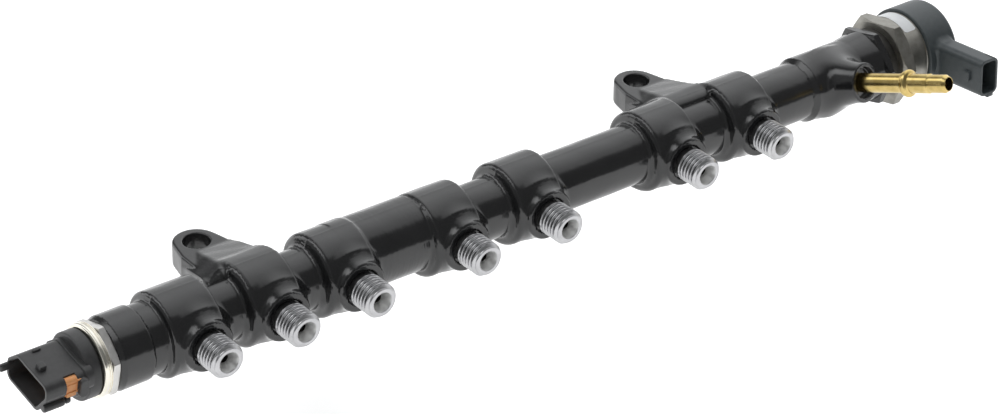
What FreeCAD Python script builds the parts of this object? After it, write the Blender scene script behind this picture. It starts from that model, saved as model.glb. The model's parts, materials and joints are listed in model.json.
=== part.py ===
import FreeCAD, Part
import math
import os
import Sketcher

# Fuel rail of a six cylinder engine: a forged and black coated steel tube with seven
# threaded ports, two lugs for its bolts, a pressure sensor screwed into one end and a
# pressure control valve with a return nipple at the other.
#
# Frame: the origin is halfway between the two lug holes, on the lower faces of the lugs.
# +X runs along the rail from the sensor to the valve, the ports point along -Y, the lug
# holes are vertical, and +Z is up. Every piece is drawn about the rail's own axis and
# then moved to its place, because the rail's axis is the line that everything shares.

# Driving dimensions, in millimetres and degrees
SIZES = {
    # Where the rail's axis lies, and the lugs
    "lug_pitch": 185.0,
    "lug_reach": 27.8,
    "seat_below_axis": 0.5,
    "lug_thickness": 8.8,
    "lug_hole_dia": 9.0,
    "lug_end_radius": 7.9,
    "lug_flare_angle": 13.0,
    "lug_edge_round": 0.9,
    "pad_outer_reach": 22.3,
    "pad_crease_reach": 6.0,
    "pad_top_rise": 13.3,
    "pad_left_top": 6.0,
    "pad_left_top_outer": 3.6,
    "pad_left_foot": 12.4,
    "pad_right": 11.3,
    "pad_slope_drop": 3.9,
    "pad_slope_drop_outer": 1.3,
    # Ports, from the sensor to the valve
    "port_1_before_lug": 24.0,
    "port_1_to_2": 29.2,
    "port_2_to_3": 29.3,
    "port_3_to_4": 42.6,
    "port_4_to_5": 34.2,
    "port_5_to_6": 60.4,
    "port_6_to_7": 34.6,
    "port_reach": 26.4,
    "port_thread_dia": 12.0,
    "port_thread_run": 9.5,
    "port_tip_chamfer": 1.1,
    "port_undercut_dia": 10.2,
    "port_undercut_run": 1.0,
    "port_cone_dia": 7.0,
    "port_cone_angle": 60.0,
    "port_bore_dia": 2.6,
    "boss_face_dia": 13.8,
    "boss_rim_dia": 17.2,
    "boss_rim_run": 1.2,
    "boss_root_dia": 22.0,
    "boss_root_reach": 10.0,
    # The forged tube
    "tube_dia": 21.0,
    "block_dia": 28.8,
    "block_before_port": 11.3,
    "block_after_port": 7.1,
    "shoulder_edge_round": 1.5,
    "shoulder_root_round": 1.6,
    "block_edge_round": 1.0,
    "block_root_round": 1.2,
    "thick_run_dia": 25.4,
    "thick_run_shift_back": 0.9,
    "thick_run_shift_up": 1.2,
    "main_bore_dia": 10.0,
    # The collar that takes the sensor
    "collar_dia": 24.9,
    "collar_run": 12.5,
    "collar_chamfer_run": 1.9,
    "collar_chamfer_drop": 0.9,
    "collar_edge_round": 0.8,
    "neck_dia": 23.4,
    "port_1_from_sensor_end": 29.7,
    "sensor_bore_dia": 18.0,
    "sensor_bore_depth": 13.4,
    # The end that takes the valve
    "step_after_port_7": 29.3,
    "step_run": 2.0,
    "step_dia": 23.8,
    "end_neck_dia": 26.0,
    "end_neck_run": 12.0,
    "end_after_port_7": 65.8,
    "end_hex_flats": 26.0,
    "end_hex_run": 3.2,
    "end_hex_turn": 17.0,
    "end_hex_setback": 0.5,
    "valve_bore_dia": 18.0,
    "valve_bore_depth": 24.0,
    # The return nipple and its boss
    "nipple_after_port_7": 41.8,
    "nipple_yaw": 11.5,
    "nipple_pitch": 20.0,
    "nipple_boss_reach": 20.5,
    "nipple_boss_dia": 14.5,
    "nipple_boss_root_dia": 24.2,
    "nipple_boss_root_reach": 4.0,
    "nipple_boss_recess": 2.2,
    "nipple_boss_recess_dia": 11.0,
    "nipple_dia": 7.0,
    "nipple_bore_dia": 4.6,
    "nipple_reach": 56.4,
    "nipple_bead_dia": 9.8,
    "nipple_bead_run": 2.6,
    "nipple_bead_reach": 39.4,
    "nipple_tip_dia": 6.5,
    "nipple_tip_run": 7.4,
    "nipple_tip_chamfer": 1.3,
    "nipple_depth": 7.0,
    # Sensor
    "sensor_hex_flats": 22.0,
    "sensor_hex_run": 3.0,
    "sensor_hex_turn": 13.6,
    "sensor_shank_run": 12.0,
    "sensor_nose_dia": 12.0,
    "sensor_inlet_dia": 3.0,
    "sensor_chamber_dia": 14.0,
    "sensor_chamber_depth": 2.0,
    "sensor_spigot_dia": 18.4,
    "sensor_spigot_run": 1.0,
    "ring_dia": 24.6,
    "ring_run": 2.9,
    "ring_lip": 0.6,
    "ring_edge_round": 0.9,
    "cap_flange_dia": 22.0,
    "cap_neck_dia": 20.4,
    "cap_gap": 0.5,
    "cap_dia": 22.4,
    "cap_run": 4.7,
    "cap_edge_round": 0.7,
    "plug_run": 15.4,
    "plug_turn": 11.0,
    "plug_width": 22.8,
    "plug_top": 7.0,
    "plug_bottom": 6.3,
    "plug_top_slant_run": 5.2,
    "plug_top_slant_drop": 5.6,
    "plug_bottom_slant_run": 5.0,
    "plug_bottom_slant_rise": 8.2,
    "plug_corner": 2.2,
    "plug_wall": 1.2,
    "plug_floor": 1.2,
    "plug_depth": 10.3,
    "window_margin": 0.5,
    "window_height": 5.0,
    "window_up": 3.4,
    "window_inset": 0.3,
    "plug_nub_run": 4.4,
    "plug_nub_width": 4.6,
    "plug_nub_rise": 1.1,
    "plug_nub_from_mouth": 5.6,
    "plug_rib_run": 11.0,
    "plug_rib_dia": 3.2,
    "plug_rib_across": 9.1,
    "plug_rib_down": 2.7,
    "plug_tab_run": 3.2,
    "plug_tab_width": 2.6,
    "plug_tab_thick": 1.7,
    "plug_tab_across": 6.6,
    "plug_tab_up": 3.6,
    "blade_width": 1.5,
    "blade_thick": 0.7,
    "blade_spacing": 5.0,
    "blade_reach": 6.5,
    "cell_dia": 9.0,
    "cell_run": 2.6,
    "cell_skin": 0.5,
    "board_thick": 1.0,
    "board_dia": 13.0,
    # Valve
    "valve_gap_run": 3.1,
    "valve_gap_dia": 25.0,
    "valve_hex_flats": 30.0,
    "valve_hex_run": 5.6,
    "valve_hex_turn": 23.3,
    "valve_hex_chamfer": 0.9,
    "valve_thread_run": 10.0,
    "valve_land_run": 4.0,
    "valve_nose_dia": 12.0,
    "valve_can_dia": 29.8,
    "valve_can_run": 7.3,
    "valve_can_wall": 1.6,
    "valve_can_floor": 0.5,
    "valve_cap_dia": 32.2,
    "valve_cap_run": 13.7,
    "valve_cap_round": 1.2,
    "valve_cap_floor": 2.0,
    "socket_before_cap_end": 6.0,
    "socket_reach": 37.5,
    "socket_width": 8.7,
    "socket_height": 13.9,
    "socket_corner": 2.4,
    "socket_wall": 1.1,
    "socket_depth": 11.0,
    "socket_tilt": 5.5,
    "socket_nub_run": 3.0,
    "socket_nub_width": 3.6,
    "socket_nub_rise": 1.0,
    "socket_nub_from_mouth": 5.0,
    "socket_blade_spacing": 5.0,
    "bobbin_bore_dia": 10.0,
    "bobbin_wall": 0.8,
    "bobbin_flange_dia": 25.0,
    "coil_dia": 23.6,
    "core_run": 5.0,
    "core_flange_dia": 16.0,
    "core_flange_run": 1.0,
    "armature_run": 6.0,
    "armature_travel": 0.4,
    "stem_dia": 2.4,
    "ball_dia": 3.0,
    "ball_room": 1.0,
    "seat_dia": 8.0,
    "seat_run": 4.0,
    "seat_bore_dia": 1.6,
    "seat_mouth_dia": 2.8,
    "return_hole_dia": 2.0,
    "spring_dia": 5.2,
    "spring_wire": 0.7,
    "spring_run": 3.4,
    "spring_pitch": 1.1,
    "o_ring_wire": 1.8,
    "o_ring_margin": 0.3,
    "label_from_can_front": 0.9,
    "label_run": 5.4,
    "label_arc": 60.0,
    "label_turn": 96.0,
    "label_thick": 0.15,
    # Clearances between pieces
    "thread_play": 0.1,
    "slide_play": 0.3,
    "blade_play": 0.1,
    "carrier_play": 0.15,
    "press_gap": 0.02,
}

doc = FreeCAD.newDocument("fuel_rail")
sheet = doc.addObject("Spreadsheet::Sheet", "sizes")
for row, (name, value) in enumerate(SIZES.items(), start=1):
    sheet.set(f"A{row}", name)
    sheet.set(f"B{row}", str(value))
    sheet.setAlias(f"B{row}", name)
doc.recompute()


class Size:
    """A number together with the text that ties it to the sheet."""

    def __init__(self, number, text):
        self.number = number
        self.text = text

    def __add__(self, other):
        other = as_size(other)
        return Size(self.number + other.number, f"({self.text} + {other.text})")

    def __sub__(self, other):
        other = as_size(other)
        return Size(self.number - other.number, f"({self.text} - {other.text})")

    def __mul__(self, other):
        other = as_size(other)
        return Size(self.number * other.number, f"({self.text} * {other.text})")

    def __truediv__(self, other):
        other = as_size(other)
        return Size(self.number / other.number, f"({self.text} / {other.text})")

    def __neg__(self):
        return Size(-self.number, f"(0 - {self.text})")


def as_size(value):
    if isinstance(value, Size):
        return value
    return Size(float(value), str(value))


def sine(angle):
    return Size(math.sin(math.radians(angle.number)), f"sin({angle.text} * 1deg)")


def cosine(angle):
    return Size(math.cos(math.radians(angle.number)), f"cos({angle.text} * 1deg)")


def tangent(angle):
    return Size(math.tan(math.radians(angle.number)), f"tan({angle.text} * 1deg)")


class Named:
    """Gives each cell of the sheet by its alias."""

    def __getattr__(self, alias):
        return Size(float(sheet.get(alias)), f"sizes.{alias}")


S = Named()
ZERO = as_size(0)


def bind(thing, path, size):
    thing.setExpression(path, as_size(size).text)


# Stations along the rail's axis
PORT_GAPS = [S.port_1_to_2, S.port_2_to_3, S.port_3_to_4, S.port_4_to_5, S.port_5_to_6, S.port_6_to_7]
ports = [-S.lug_pitch / 2 - S.port_1_before_lug]
for gap in PORT_GAPS:
    ports.append(ports[-1] + gap)
lugs = [-S.lug_pitch / 2, S.lug_pitch / 2]
sensor_end = ports[0] - S.port_1_from_sensor_end
valve_end = ports[6] + S.end_after_port_7
nipple_station = ports[6] + S.nipple_after_port_7


# Drawing tools
def new_body(name):
    return doc.addObject("PartDesign::Body", name)


def origin_plane(body, role):
    for feature in body.Origin.OriginFeatures:
        if feature.Role == role:
            return feature
    raise ValueError(role)


def arc_between(start, end, radius, side):
    """The lesser arc between two points, with its centre to the left (1) or right (-1)."""
    chord = end - start
    reach = math.sqrt(max(radius * radius - chord.Length * chord.Length / 4, 0.0))
    across = FreeCAD.Vector(-chord.y, chord.x, 0)
    across.normalize()
    centre = (start + end) * 0.5 + across * (reach * side)
    first, last = (start, end) if side > 0 else (end, start)
    circle = Part.Circle(centre, FreeCAD.Vector(0, 0, 1), radius)
    angles = [math.atan2(point.y - centre.y, point.x - centre.x) for point in (first, last)]
    return Part.ArcOfCircle(circle, angles[0], angles[1])


def outline(body, name, role, corners, shift=None):
    """A closed sketch. A corner is (u, v), or (u, v, radius, side) after an arc."""
    sketch = body.newObject("Sketcher::SketchObject", name)
    sketch.AttachmentSupport = [(origin_plane(body, role), "")]
    sketch.MapMode = "FlatFace"
    for axis, amount in (shift or {}).items():
        bind(sketch, f"AttachmentOffset.Base.{axis}", amount)
    places = []
    for corner in corners:
        places.append(FreeCAD.Vector(as_size(corner[0]).number, as_size(corner[1]).number, 0))
    count = len(corners)
    backwards = []
    for index in range(count):
        start = places[index]
        after = (index + 1) % count
        end = places[after]
        if len(corners[after]) == 4:
            radius, side = corners[after][2], corners[after][3]
            curve = arc_between(start, end, as_size(radius).number, side)
            geo = sketch.addGeometry(curve, False)
            backwards.append(side < 0)
            rule = sketch.addConstraint(Sketcher.Constraint("Radius", geo, as_size(radius).number))
            bind(sketch, f"Constraints[{rule}]", radius)
        else:
            sketch.addGeometry(Part.LineSegment(start, end), False)
            backwards.append(False)
    for index in range(count):
        after = (index + 1) % count
        last = 1 if backwards[index] else 2
        first = 2 if backwards[after] else 1
        sketch.addConstraint(Sketcher.Constraint("Coincident", index, last, after, first))
    for index, corner in enumerate(corners):
        point = 2 if backwards[index] else 1
        for kind, amount in (("DistanceX", as_size(corner[0])), ("DistanceY", as_size(corner[1]))):
            rule = sketch.addConstraint(Sketcher.Constraint(kind, -1, 1, index, point, amount.number))
            if amount.text != "0":
                bind(sketch, f"Constraints[{rule}]", amount)
    return sketch


def turned(body, name, role, corners, axis="H_Axis", shift=None):
    """A solid of revolution added to the body."""
    sketch = outline(body, name + "_outline", role, corners, shift)
    feature = body.newObject("PartDesign::Revolution", name)
    feature.Profile = sketch
    feature.ReferenceAxis = (sketch, [axis])
    feature.Angle = 360
    return feature


def padded(body, name, role, corners, length, shift=None):
    """A flat outline made thick along its plane's normal."""
    sketch = outline(body, name + "_outline", role, corners, shift)
    feature = body.newObject("PartDesign::Pad", name)
    feature.Profile = sketch
    bind(feature, "Length", length)
    return feature


def round_bar(name, dia, start, length):
    """A plain cylinder along the rail's axis."""
    bar = doc.addObject("Part::Cylinder", name)
    bind(bar, "Radius", dia / 2)
    bind(bar, "Height", length)
    bar.Placement.Rotation = FreeCAD.Rotation(FreeCAD.Vector(0, 1, 0), 90)
    bind(bar, "Placement.Base.x", start)
    return bar


def joined(name, pieces):
    fuse = doc.addObject("Part::MultiFuse", name)
    fuse.Shapes = pieces
    fuse.Refine = True
    return fuse


def less(name, base, tool):
    cut = doc.addObject("Part::Cut", name)
    cut.Base = base
    cut.Tool = tool
    cut.Refine = True
    return cut


def shared(name, first, second):
    common = doc.addObject("Part::Common", name)
    common.Base = first
    common.Tool = second
    return common


def hexagon(name, flats, start, length, turn, chamfer):
    """A hexagon across the rail's axis, turned from corner up, its corners chamfered."""
    corner = flats / cosine(as_size(30)) / 2
    points = []
    for step in range(6):
        angle = turn + (30 + 60 * step)
        points.append((corner * cosine(angle), corner * sine(angle)))
    prism = new_body(name + "_prism")
    padded(prism, name + "_pad", "YZ_Plane", points, length, {"z": start})
    envelope = new_body(name + "_envelope")
    fall = chamfer * 1.7
    turned(envelope, name + "_turning", "XY_Plane", [
        (start, 0),
        (start, corner - fall),
        (start + chamfer, corner),
        (start + length - chamfer, corner),
        (start + length, corner - fall),
        (start + length, 0),
    ])
    return shared(name, prism, envelope)


def block(name, start, length, across, up):
    """A box along the rail's axis: across and up are its (from, to) in Y and Z."""
    body = new_body(name)
    padded(body, name + "_pad", "YZ_Plane", [
        (across[0], up[0]),
        (across[1], up[0]),
        (across[1], up[1]),
        (across[0], up[1]),
    ], length, {"z": start})
    return body


def outward_block(name, start, length, along, up):
    """A box towards -Y from a distance: along and up are its (from, to) in X and Z."""
    body = new_body(name)
    padded(body, name + "_pad", "XZ_Plane", [
        (along[0], up[0]),
        (along[1], up[0]),
        (along[1], up[1]),
        (along[0], up[1]),
    ], length, {"z": start})
    return body


def rounded(body, name, direction, radius):
    """Rounds the edges of the body's last feature that run along X or Y."""
    doc.recompute()
    base = body.Tip
    names = []
    for number, edge in enumerate(base.Shape.Edges, start=1):
        box = edge.BoundBox
        spans = {"X": box.XLength, "Y": box.YLength, "Z": box.ZLength}
        length = spans.pop(direction)
        if length > 0.1 and max(spans.values()) < 0.01:
            names.append(f"Edge{number}")
    feature = body.newObject("PartDesign::Fillet", name)
    feature.Base = (base, names)
    bind(feature, "Radius", radius)


nodes = {}


def finish(node, thing, turn=None):
    """Names a finished piece and moves it from the rail's axis to its place."""
    thing.Label = node
    bind(thing, "Placement.Base.y", -S.lug_reach)
    bind(thing, "Placement.Base.z", S.seat_below_axis)
    if turn is not None:
        thing.Placement.Rotation = FreeCAD.Rotation(FreeCAD.Vector(1, 0, 0), turn.number)
        thing.setExpression("Placement.Rotation.Angle", f"{turn.text} * 1deg")
    nodes[node] = thing
    return thing


# The rail: one forging
def block_corners(port, before_dia):
    """The outline of a port's block: a soft shoulder before it, a crisper edge after it."""
    wall = port - S.block_before_port
    end = port + S.block_after_port
    root = S.shoulder_root_round
    edge = S.shoulder_edge_round
    return [
        (wall - root, before_dia / 2),
        (wall, before_dia / 2 + root, root, 1),
        (wall, S.block_dia / 2 - edge),
        (wall + edge, S.block_dia / 2, edge, -1),
        (end - S.block_edge_round, S.block_dia / 2),
        (end, S.block_dia / 2 - S.block_edge_round, S.block_edge_round, -1),
        (end, S.tube_dia / 2 + S.block_root_round),
        (end + S.block_root_round, S.tube_dia / 2, S.block_root_round, 1),
    ]


def tube_corners():
    collar_end = sensor_end + S.collar_run
    corners = [
        (sensor_end, 0),
        (sensor_end, S.collar_dia / 2 - S.collar_chamfer_drop),
        (sensor_end + S.collar_chamfer_run, S.collar_dia / 2),
        (collar_end - S.collar_edge_round, S.collar_dia / 2),
        (collar_end, S.neck_dia / 2),
    ]
    corners += block_corners(ports[0], S.neck_dia)
    for port in ports[1:]:
        corners += block_corners(port, S.tube_dia)
    step = ports[6] + S.step_after_port_7
    neck = valve_end - S.end_neck_run
    corners += [
        (step, S.tube_dia / 2),
        (step + S.step_run, S.step_dia / 2),
        (neck, S.step_dia / 2),
        (valve_end - S.end_hex_run, S.end_neck_dia / 2),
        (valve_end, S.end_neck_dia / 2 - S.end_hex_setback),
        (valve_end, 0),
    ]
    return corners


def lug(index, station):
    """A flat ear with a round end, and the raised pad that joins it to the rail."""
    seat = -S.seat_below_axis
    top = seat + S.lug_thickness
    reach = S.lug_reach
    radius = S.lug_end_radius
    lean_in = radius * cosine(S.lug_flare_angle)
    lean_out = radius * sine(S.lug_flare_angle)
    fold = S.pad_outer_reach
    flare = lean_in + (reach - fold + lean_out) * tangent(S.lug_flare_angle)
    body = new_body(f"lug_{index}")
    ear = padded(body, f"ear_{index}", "XY_Plane", [
        (-flare, fold),
        (flare, fold),
        (lean_in, reach + lean_out),
        (-lean_in, reach + lean_out, radius, 1),
    ], S.lug_thickness, {"x": station, "z": seat})
    doc.recompute()
    names = []
    for number, edge in enumerate(ear.Shape.Edges, start=1):
        middle = edge.BoundBox.Center
        level = edge.BoundBox.ZLength < 0.01
        if level and middle.y > fold.number + 0.1:
            names.append(f"Edge{number}")
    rounding = body.newObject("PartDesign::Fillet", f"ear_round_{index}")
    rounding.Base = (ear, names)
    bind(rounding, "Radius", S.lug_edge_round)

    # The pad is lofted from its outer end to its crease and on to the rail's axis plane
    pad = new_body(f"pad_{index}")
    rise = S.pad_top_rise
    outer = [
        (-flare, seat),
        (-flare, top - S.pad_slope_drop_outer),
        (-S.pad_left_top_outer, top),
        (flare, top),
        (flare, seat),
    ]
    inner = [
        (-S.pad_left_foot, seat),
        (-S.pad_left_foot, rise - S.pad_slope_drop),
        (-S.pad_left_top, rise),
        (S.pad_right, rise),
        (S.pad_right, seat),
    ]
    far = outline(pad, f"pad_far_{index}", "XZ_Plane", outer, {"x": station, "z": -fold})
    near = outline(pad, f"pad_near_{index}", "XZ_Plane", inner, {"x": station, "z": -S.pad_crease_reach})
    root = outline(pad, f"pad_root_{index}", "XZ_Plane", inner, {"x": station, "z": 0})
    loft = pad.newObject("PartDesign::AdditiveLoft", f"pad_loft_{index}")
    loft.Profile = far
    loft.Sections = [near, root]
    loft.Ruled = True
    return [body, pad]


def port_body(index, station):
    """A threaded port with its round boss, turned about its own axis."""
    face = S.port_reach
    thread_foot = face - S.port_thread_run
    boss_face = thread_foot - S.port_undercut_run
    rim = boss_face - S.boss_rim_run
    flare_run = rim - S.boss_root_reach
    flare_rise = (S.boss_root_dia - S.boss_rim_dia) / 2
    flare = (flare_run * flare_run + flare_rise * flare_rise) / (flare_rise * 2)
    body = new_body(f"port_{index}")
    turned(body, f"port_turning_{index}", "XY_Plane", [
        (0, 0),
        (0, -face),
        (S.port_thread_dia / 2 - S.port_tip_chamfer, -face),
        (S.port_thread_dia / 2, -face + S.port_tip_chamfer),
        (S.port_thread_dia / 2, -thread_foot),
        (S.port_undercut_dia / 2, -thread_foot),
        (S.port_undercut_dia / 2, -boss_face),
        (S.boss_face_dia / 2, -boss_face),
        (S.boss_rim_dia / 2, -rim),
        (S.boss_root_dia / 2, -S.boss_root_reach, flare, -1),
        (S.boss_root_dia / 2, 0),
    ], "V_Axis", {"x": station})
    return body


def port_bore(index, station):
    """The sealing cone and the small bore that runs down to the main bore."""
    cone_depth = (S.port_cone_dia - S.port_bore_dia) / 2 / tangent(S.port_cone_angle / 2)
    body = new_body(f"port_bore_{index}")
    turned(body, f"port_boring_{index}", "XY_Plane", [
        (0, 0),
        (0, -S.port_reach - 1),
        (S.port_cone_dia / 2, -S.port_reach - 1),
        (S.port_cone_dia / 2, -S.port_reach),
        (S.port_bore_dia / 2, -S.port_reach + cone_depth),
        (S.port_bore_dia / 2, 0),
    ], "V_Axis", {"x": station})
    return body


def aim(thing, across=ZERO, up=ZERO):
    """Points a piece that is drawn along +X along the axis of the nipple."""
    place = f"vector({nipple_station.text}; {across.text}; {up.text})"
    turn = f"rotation({S.nipple_yaw.text} - 90; 0 - {S.nipple_pitch.text}; 0)"
    thing.setExpression("Placement", f"placement({place}; {turn})")


def build_rail():
    core = new_body("tube")
    turned(core, "tube_turning", "XY_Plane", tube_corners())
    additions = [core]
    thick = round_bar("thick_run", S.thick_run_dia, ports[2], ports[3] - ports[2] - S.block_before_port)
    bind(thick, "Placement.Base.y", S.thick_run_shift_back)
    bind(thick, "Placement.Base.z", S.thick_run_shift_up)
    additions.append(thick)
    additions.append(hexagon("end_hex", S.end_hex_flats, valve_end - S.end_hex_setback - S.end_hex_run,
                             S.end_hex_run, S.end_hex_turn, as_size(0.5)))
    for index, station in enumerate(lugs, start=1):
        additions += lug(index, station)
    for index, station in enumerate(ports, start=1):
        additions.append(port_body(index, station))

    boss = new_body("nipple_boss")
    reach = S.nipple_boss_reach
    swell_run = reach - S.nipple_boss_root_reach
    swell_rise = (S.nipple_boss_root_dia - S.nipple_boss_dia) / 2
    swell = (swell_run * swell_run + swell_rise * swell_rise) / (swell_rise * 2)
    turned(boss, "nipple_boss_turning", "XY_Plane", [
        (0, 0),
        (0, S.nipple_boss_root_dia / 2),
        (S.nipple_boss_root_reach, S.nipple_boss_root_dia / 2),
        (reach, S.nipple_boss_dia / 2, swell, 1),
        (reach, 0),
    ])
    aim(boss)
    additions.append(boss)
    solid = joined("rail_solid", additions)

    bores = new_body("main_bores")
    nose = S.sensor_bore_dia / 2 - S.main_bore_dia / 2
    valve_nose = S.valve_bore_dia / 2 - S.main_bore_dia / 2
    turned(bores, "main_boring", "XY_Plane", [
        (sensor_end - 1, 0),
        (sensor_end - 1, S.sensor_bore_dia / 2),
        (sensor_end + S.sensor_bore_depth, S.sensor_bore_dia / 2),
        (sensor_end + S.sensor_bore_depth + nose, S.main_bore_dia / 2),
        (valve_end - S.valve_bore_depth - valve_nose, S.main_bore_dia / 2),
        (valve_end - S.valve_bore_depth, S.valve_bore_dia / 2),
        (valve_end + 1, S.valve_bore_dia / 2),
        (valve_end + 1, 0),
    ])
    cuts = [bores]
    for index, station in enumerate(ports, start=1):
        cuts.append(port_bore(index, station))
    for index, station in enumerate(lugs, start=1):
        hole = doc.addObject("Part::Cylinder", f"lug_hole_{index}")
        bind(hole, "Radius", S.lug_hole_dia / 2)
        bind(hole, "Height", S.lug_thickness + 2)
        bind(hole, "Placement.Base.x", station)
        bind(hole, "Placement.Base.y", S.lug_reach)
        bind(hole, "Placement.Base.z", -S.seat_below_axis - 1)
        cuts.append(hole)
    recess = new_body("nipple_recess")
    foot = S.nipple_boss_reach - S.nipple_depth
    turned(recess, "nipple_boring", "XY_Plane", [
        (0, 0),
        (0, S.nipple_bore_dia / 2),
        (foot, S.nipple_bore_dia / 2),
        (foot, S.nipple_dia / 2),
        (reach - S.nipple_boss_recess, S.nipple_dia / 2),
        (reach - S.nipple_boss_recess, S.nipple_boss_recess_dia / 2),
        (reach + 1, S.nipple_boss_recess_dia / 2),
        (reach + 1, 0),
    ])
    aim(recess)
    cuts.append(recess)
    finish("rail_body", less("rail", solid, joined("rail_cuts", cuts)))


def build_nipple():
    """The steel return nipple, pressed into its boss on the rail."""
    foot = S.nipple_boss_reach - S.nipple_depth + S.press_gap
    bead = S.nipple_bead_reach - S.nipple_bead_run / 2
    bead_end = S.nipple_bead_reach + S.nipple_bead_run / 2
    rise = (S.nipple_bead_dia - S.nipple_dia) / 2
    half = S.nipple_bead_run / 2
    bulge = (half * half + rise * rise) / (rise * 2)
    tip = S.nipple_reach - S.nipple_tip_run
    outer = S.nipple_dia / 2 - S.press_gap
    body = new_body("nipple")
    turned(body, "nipple_turning", "XY_Plane", [
        (foot, S.nipple_bore_dia / 2),
        (foot, outer),
        (bead, outer),
        (S.nipple_bead_reach, S.nipple_bead_dia / 2 - S.press_gap, bulge, -1),
        (bead_end, outer, bulge, -1),
        (tip, outer),
        (tip, S.nipple_tip_dia / 2),
        (S.nipple_reach - S.nipple_tip_chamfer, S.nipple_tip_dia / 2),
        (S.nipple_reach, S.nipple_tip_dia / 2 - S.nipple_tip_chamfer / 2),
        (S.nipple_reach, S.nipple_bore_dia / 2),
    ])
    body.Label = "return_nipple"
    aim(body, -S.lug_reach, S.seat_below_axis)
    nodes["return_nipple"] = body


# The pressure sensor
hex_back = sensor_end - S.sensor_hex_run
foot_front = hex_back - S.sensor_spigot_run
ring_back = hex_back - S.ring_run
cap_back = ring_back - S.cap_gap
cap_front = cap_back - S.cap_run
mouth = cap_front - S.plug_run
carrier_front = mouth + S.plug_depth
chamber_floor = sensor_end + S.sensor_chamber_depth
cell_back = chamber_floor - S.cell_run
board_back = cell_back - S.board_thick


def plug_corners(inset):
    """The six sided outline of the sensor's plug, looking along the rail."""
    half = S.plug_width / 2 - inset
    top = S.plug_top - inset
    bottom = inset - S.plug_bottom
    return [
        (-half, top),
        (-half, bottom + S.plug_bottom_slant_rise),
        (S.plug_bottom_slant_run - half, bottom),
        (half, bottom),
        (half, top - S.plug_top_slant_drop),
        (half - S.plug_top_slant_run, top),
    ]


def plug_prism(name, start, length, inset):
    body = new_body(name)
    padded(body, name + "_pad", "YZ_Plane", plug_corners(inset), length, {"z": start})
    rounded(body, name + "_round", "X", S.plug_corner - inset / 2)
    return body


def blade_rooms(prefix, play):
    """The three blades of the sensor, or the slots for them, with the given play."""
    made = []
    for step in (-1, 0, 1):
        middle = S.blade_spacing * step
        wide = S.blade_width / 2 + play
        tall = S.blade_thick / 2 + play
        start = carrier_front - S.blade_reach
        made.append(block(f"{prefix}_{step + 2}", start, board_back - start,
                          (middle - wide, middle + wide), (-tall, tall)))
    return made


def window_room(name, play):
    """The contact carrier's side block, or the window for it, with the given play."""
    start = carrier_front + S.window_margin - play
    end = cap_front - S.plug_floor - S.window_margin + play
    low = S.window_up - S.window_height / 2 - play
    return block(name, start, end - start, (S.window_inset - S.plug_width / 2 - play, ZERO),
                 (low, S.window_up + S.window_height / 2 + play))


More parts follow.
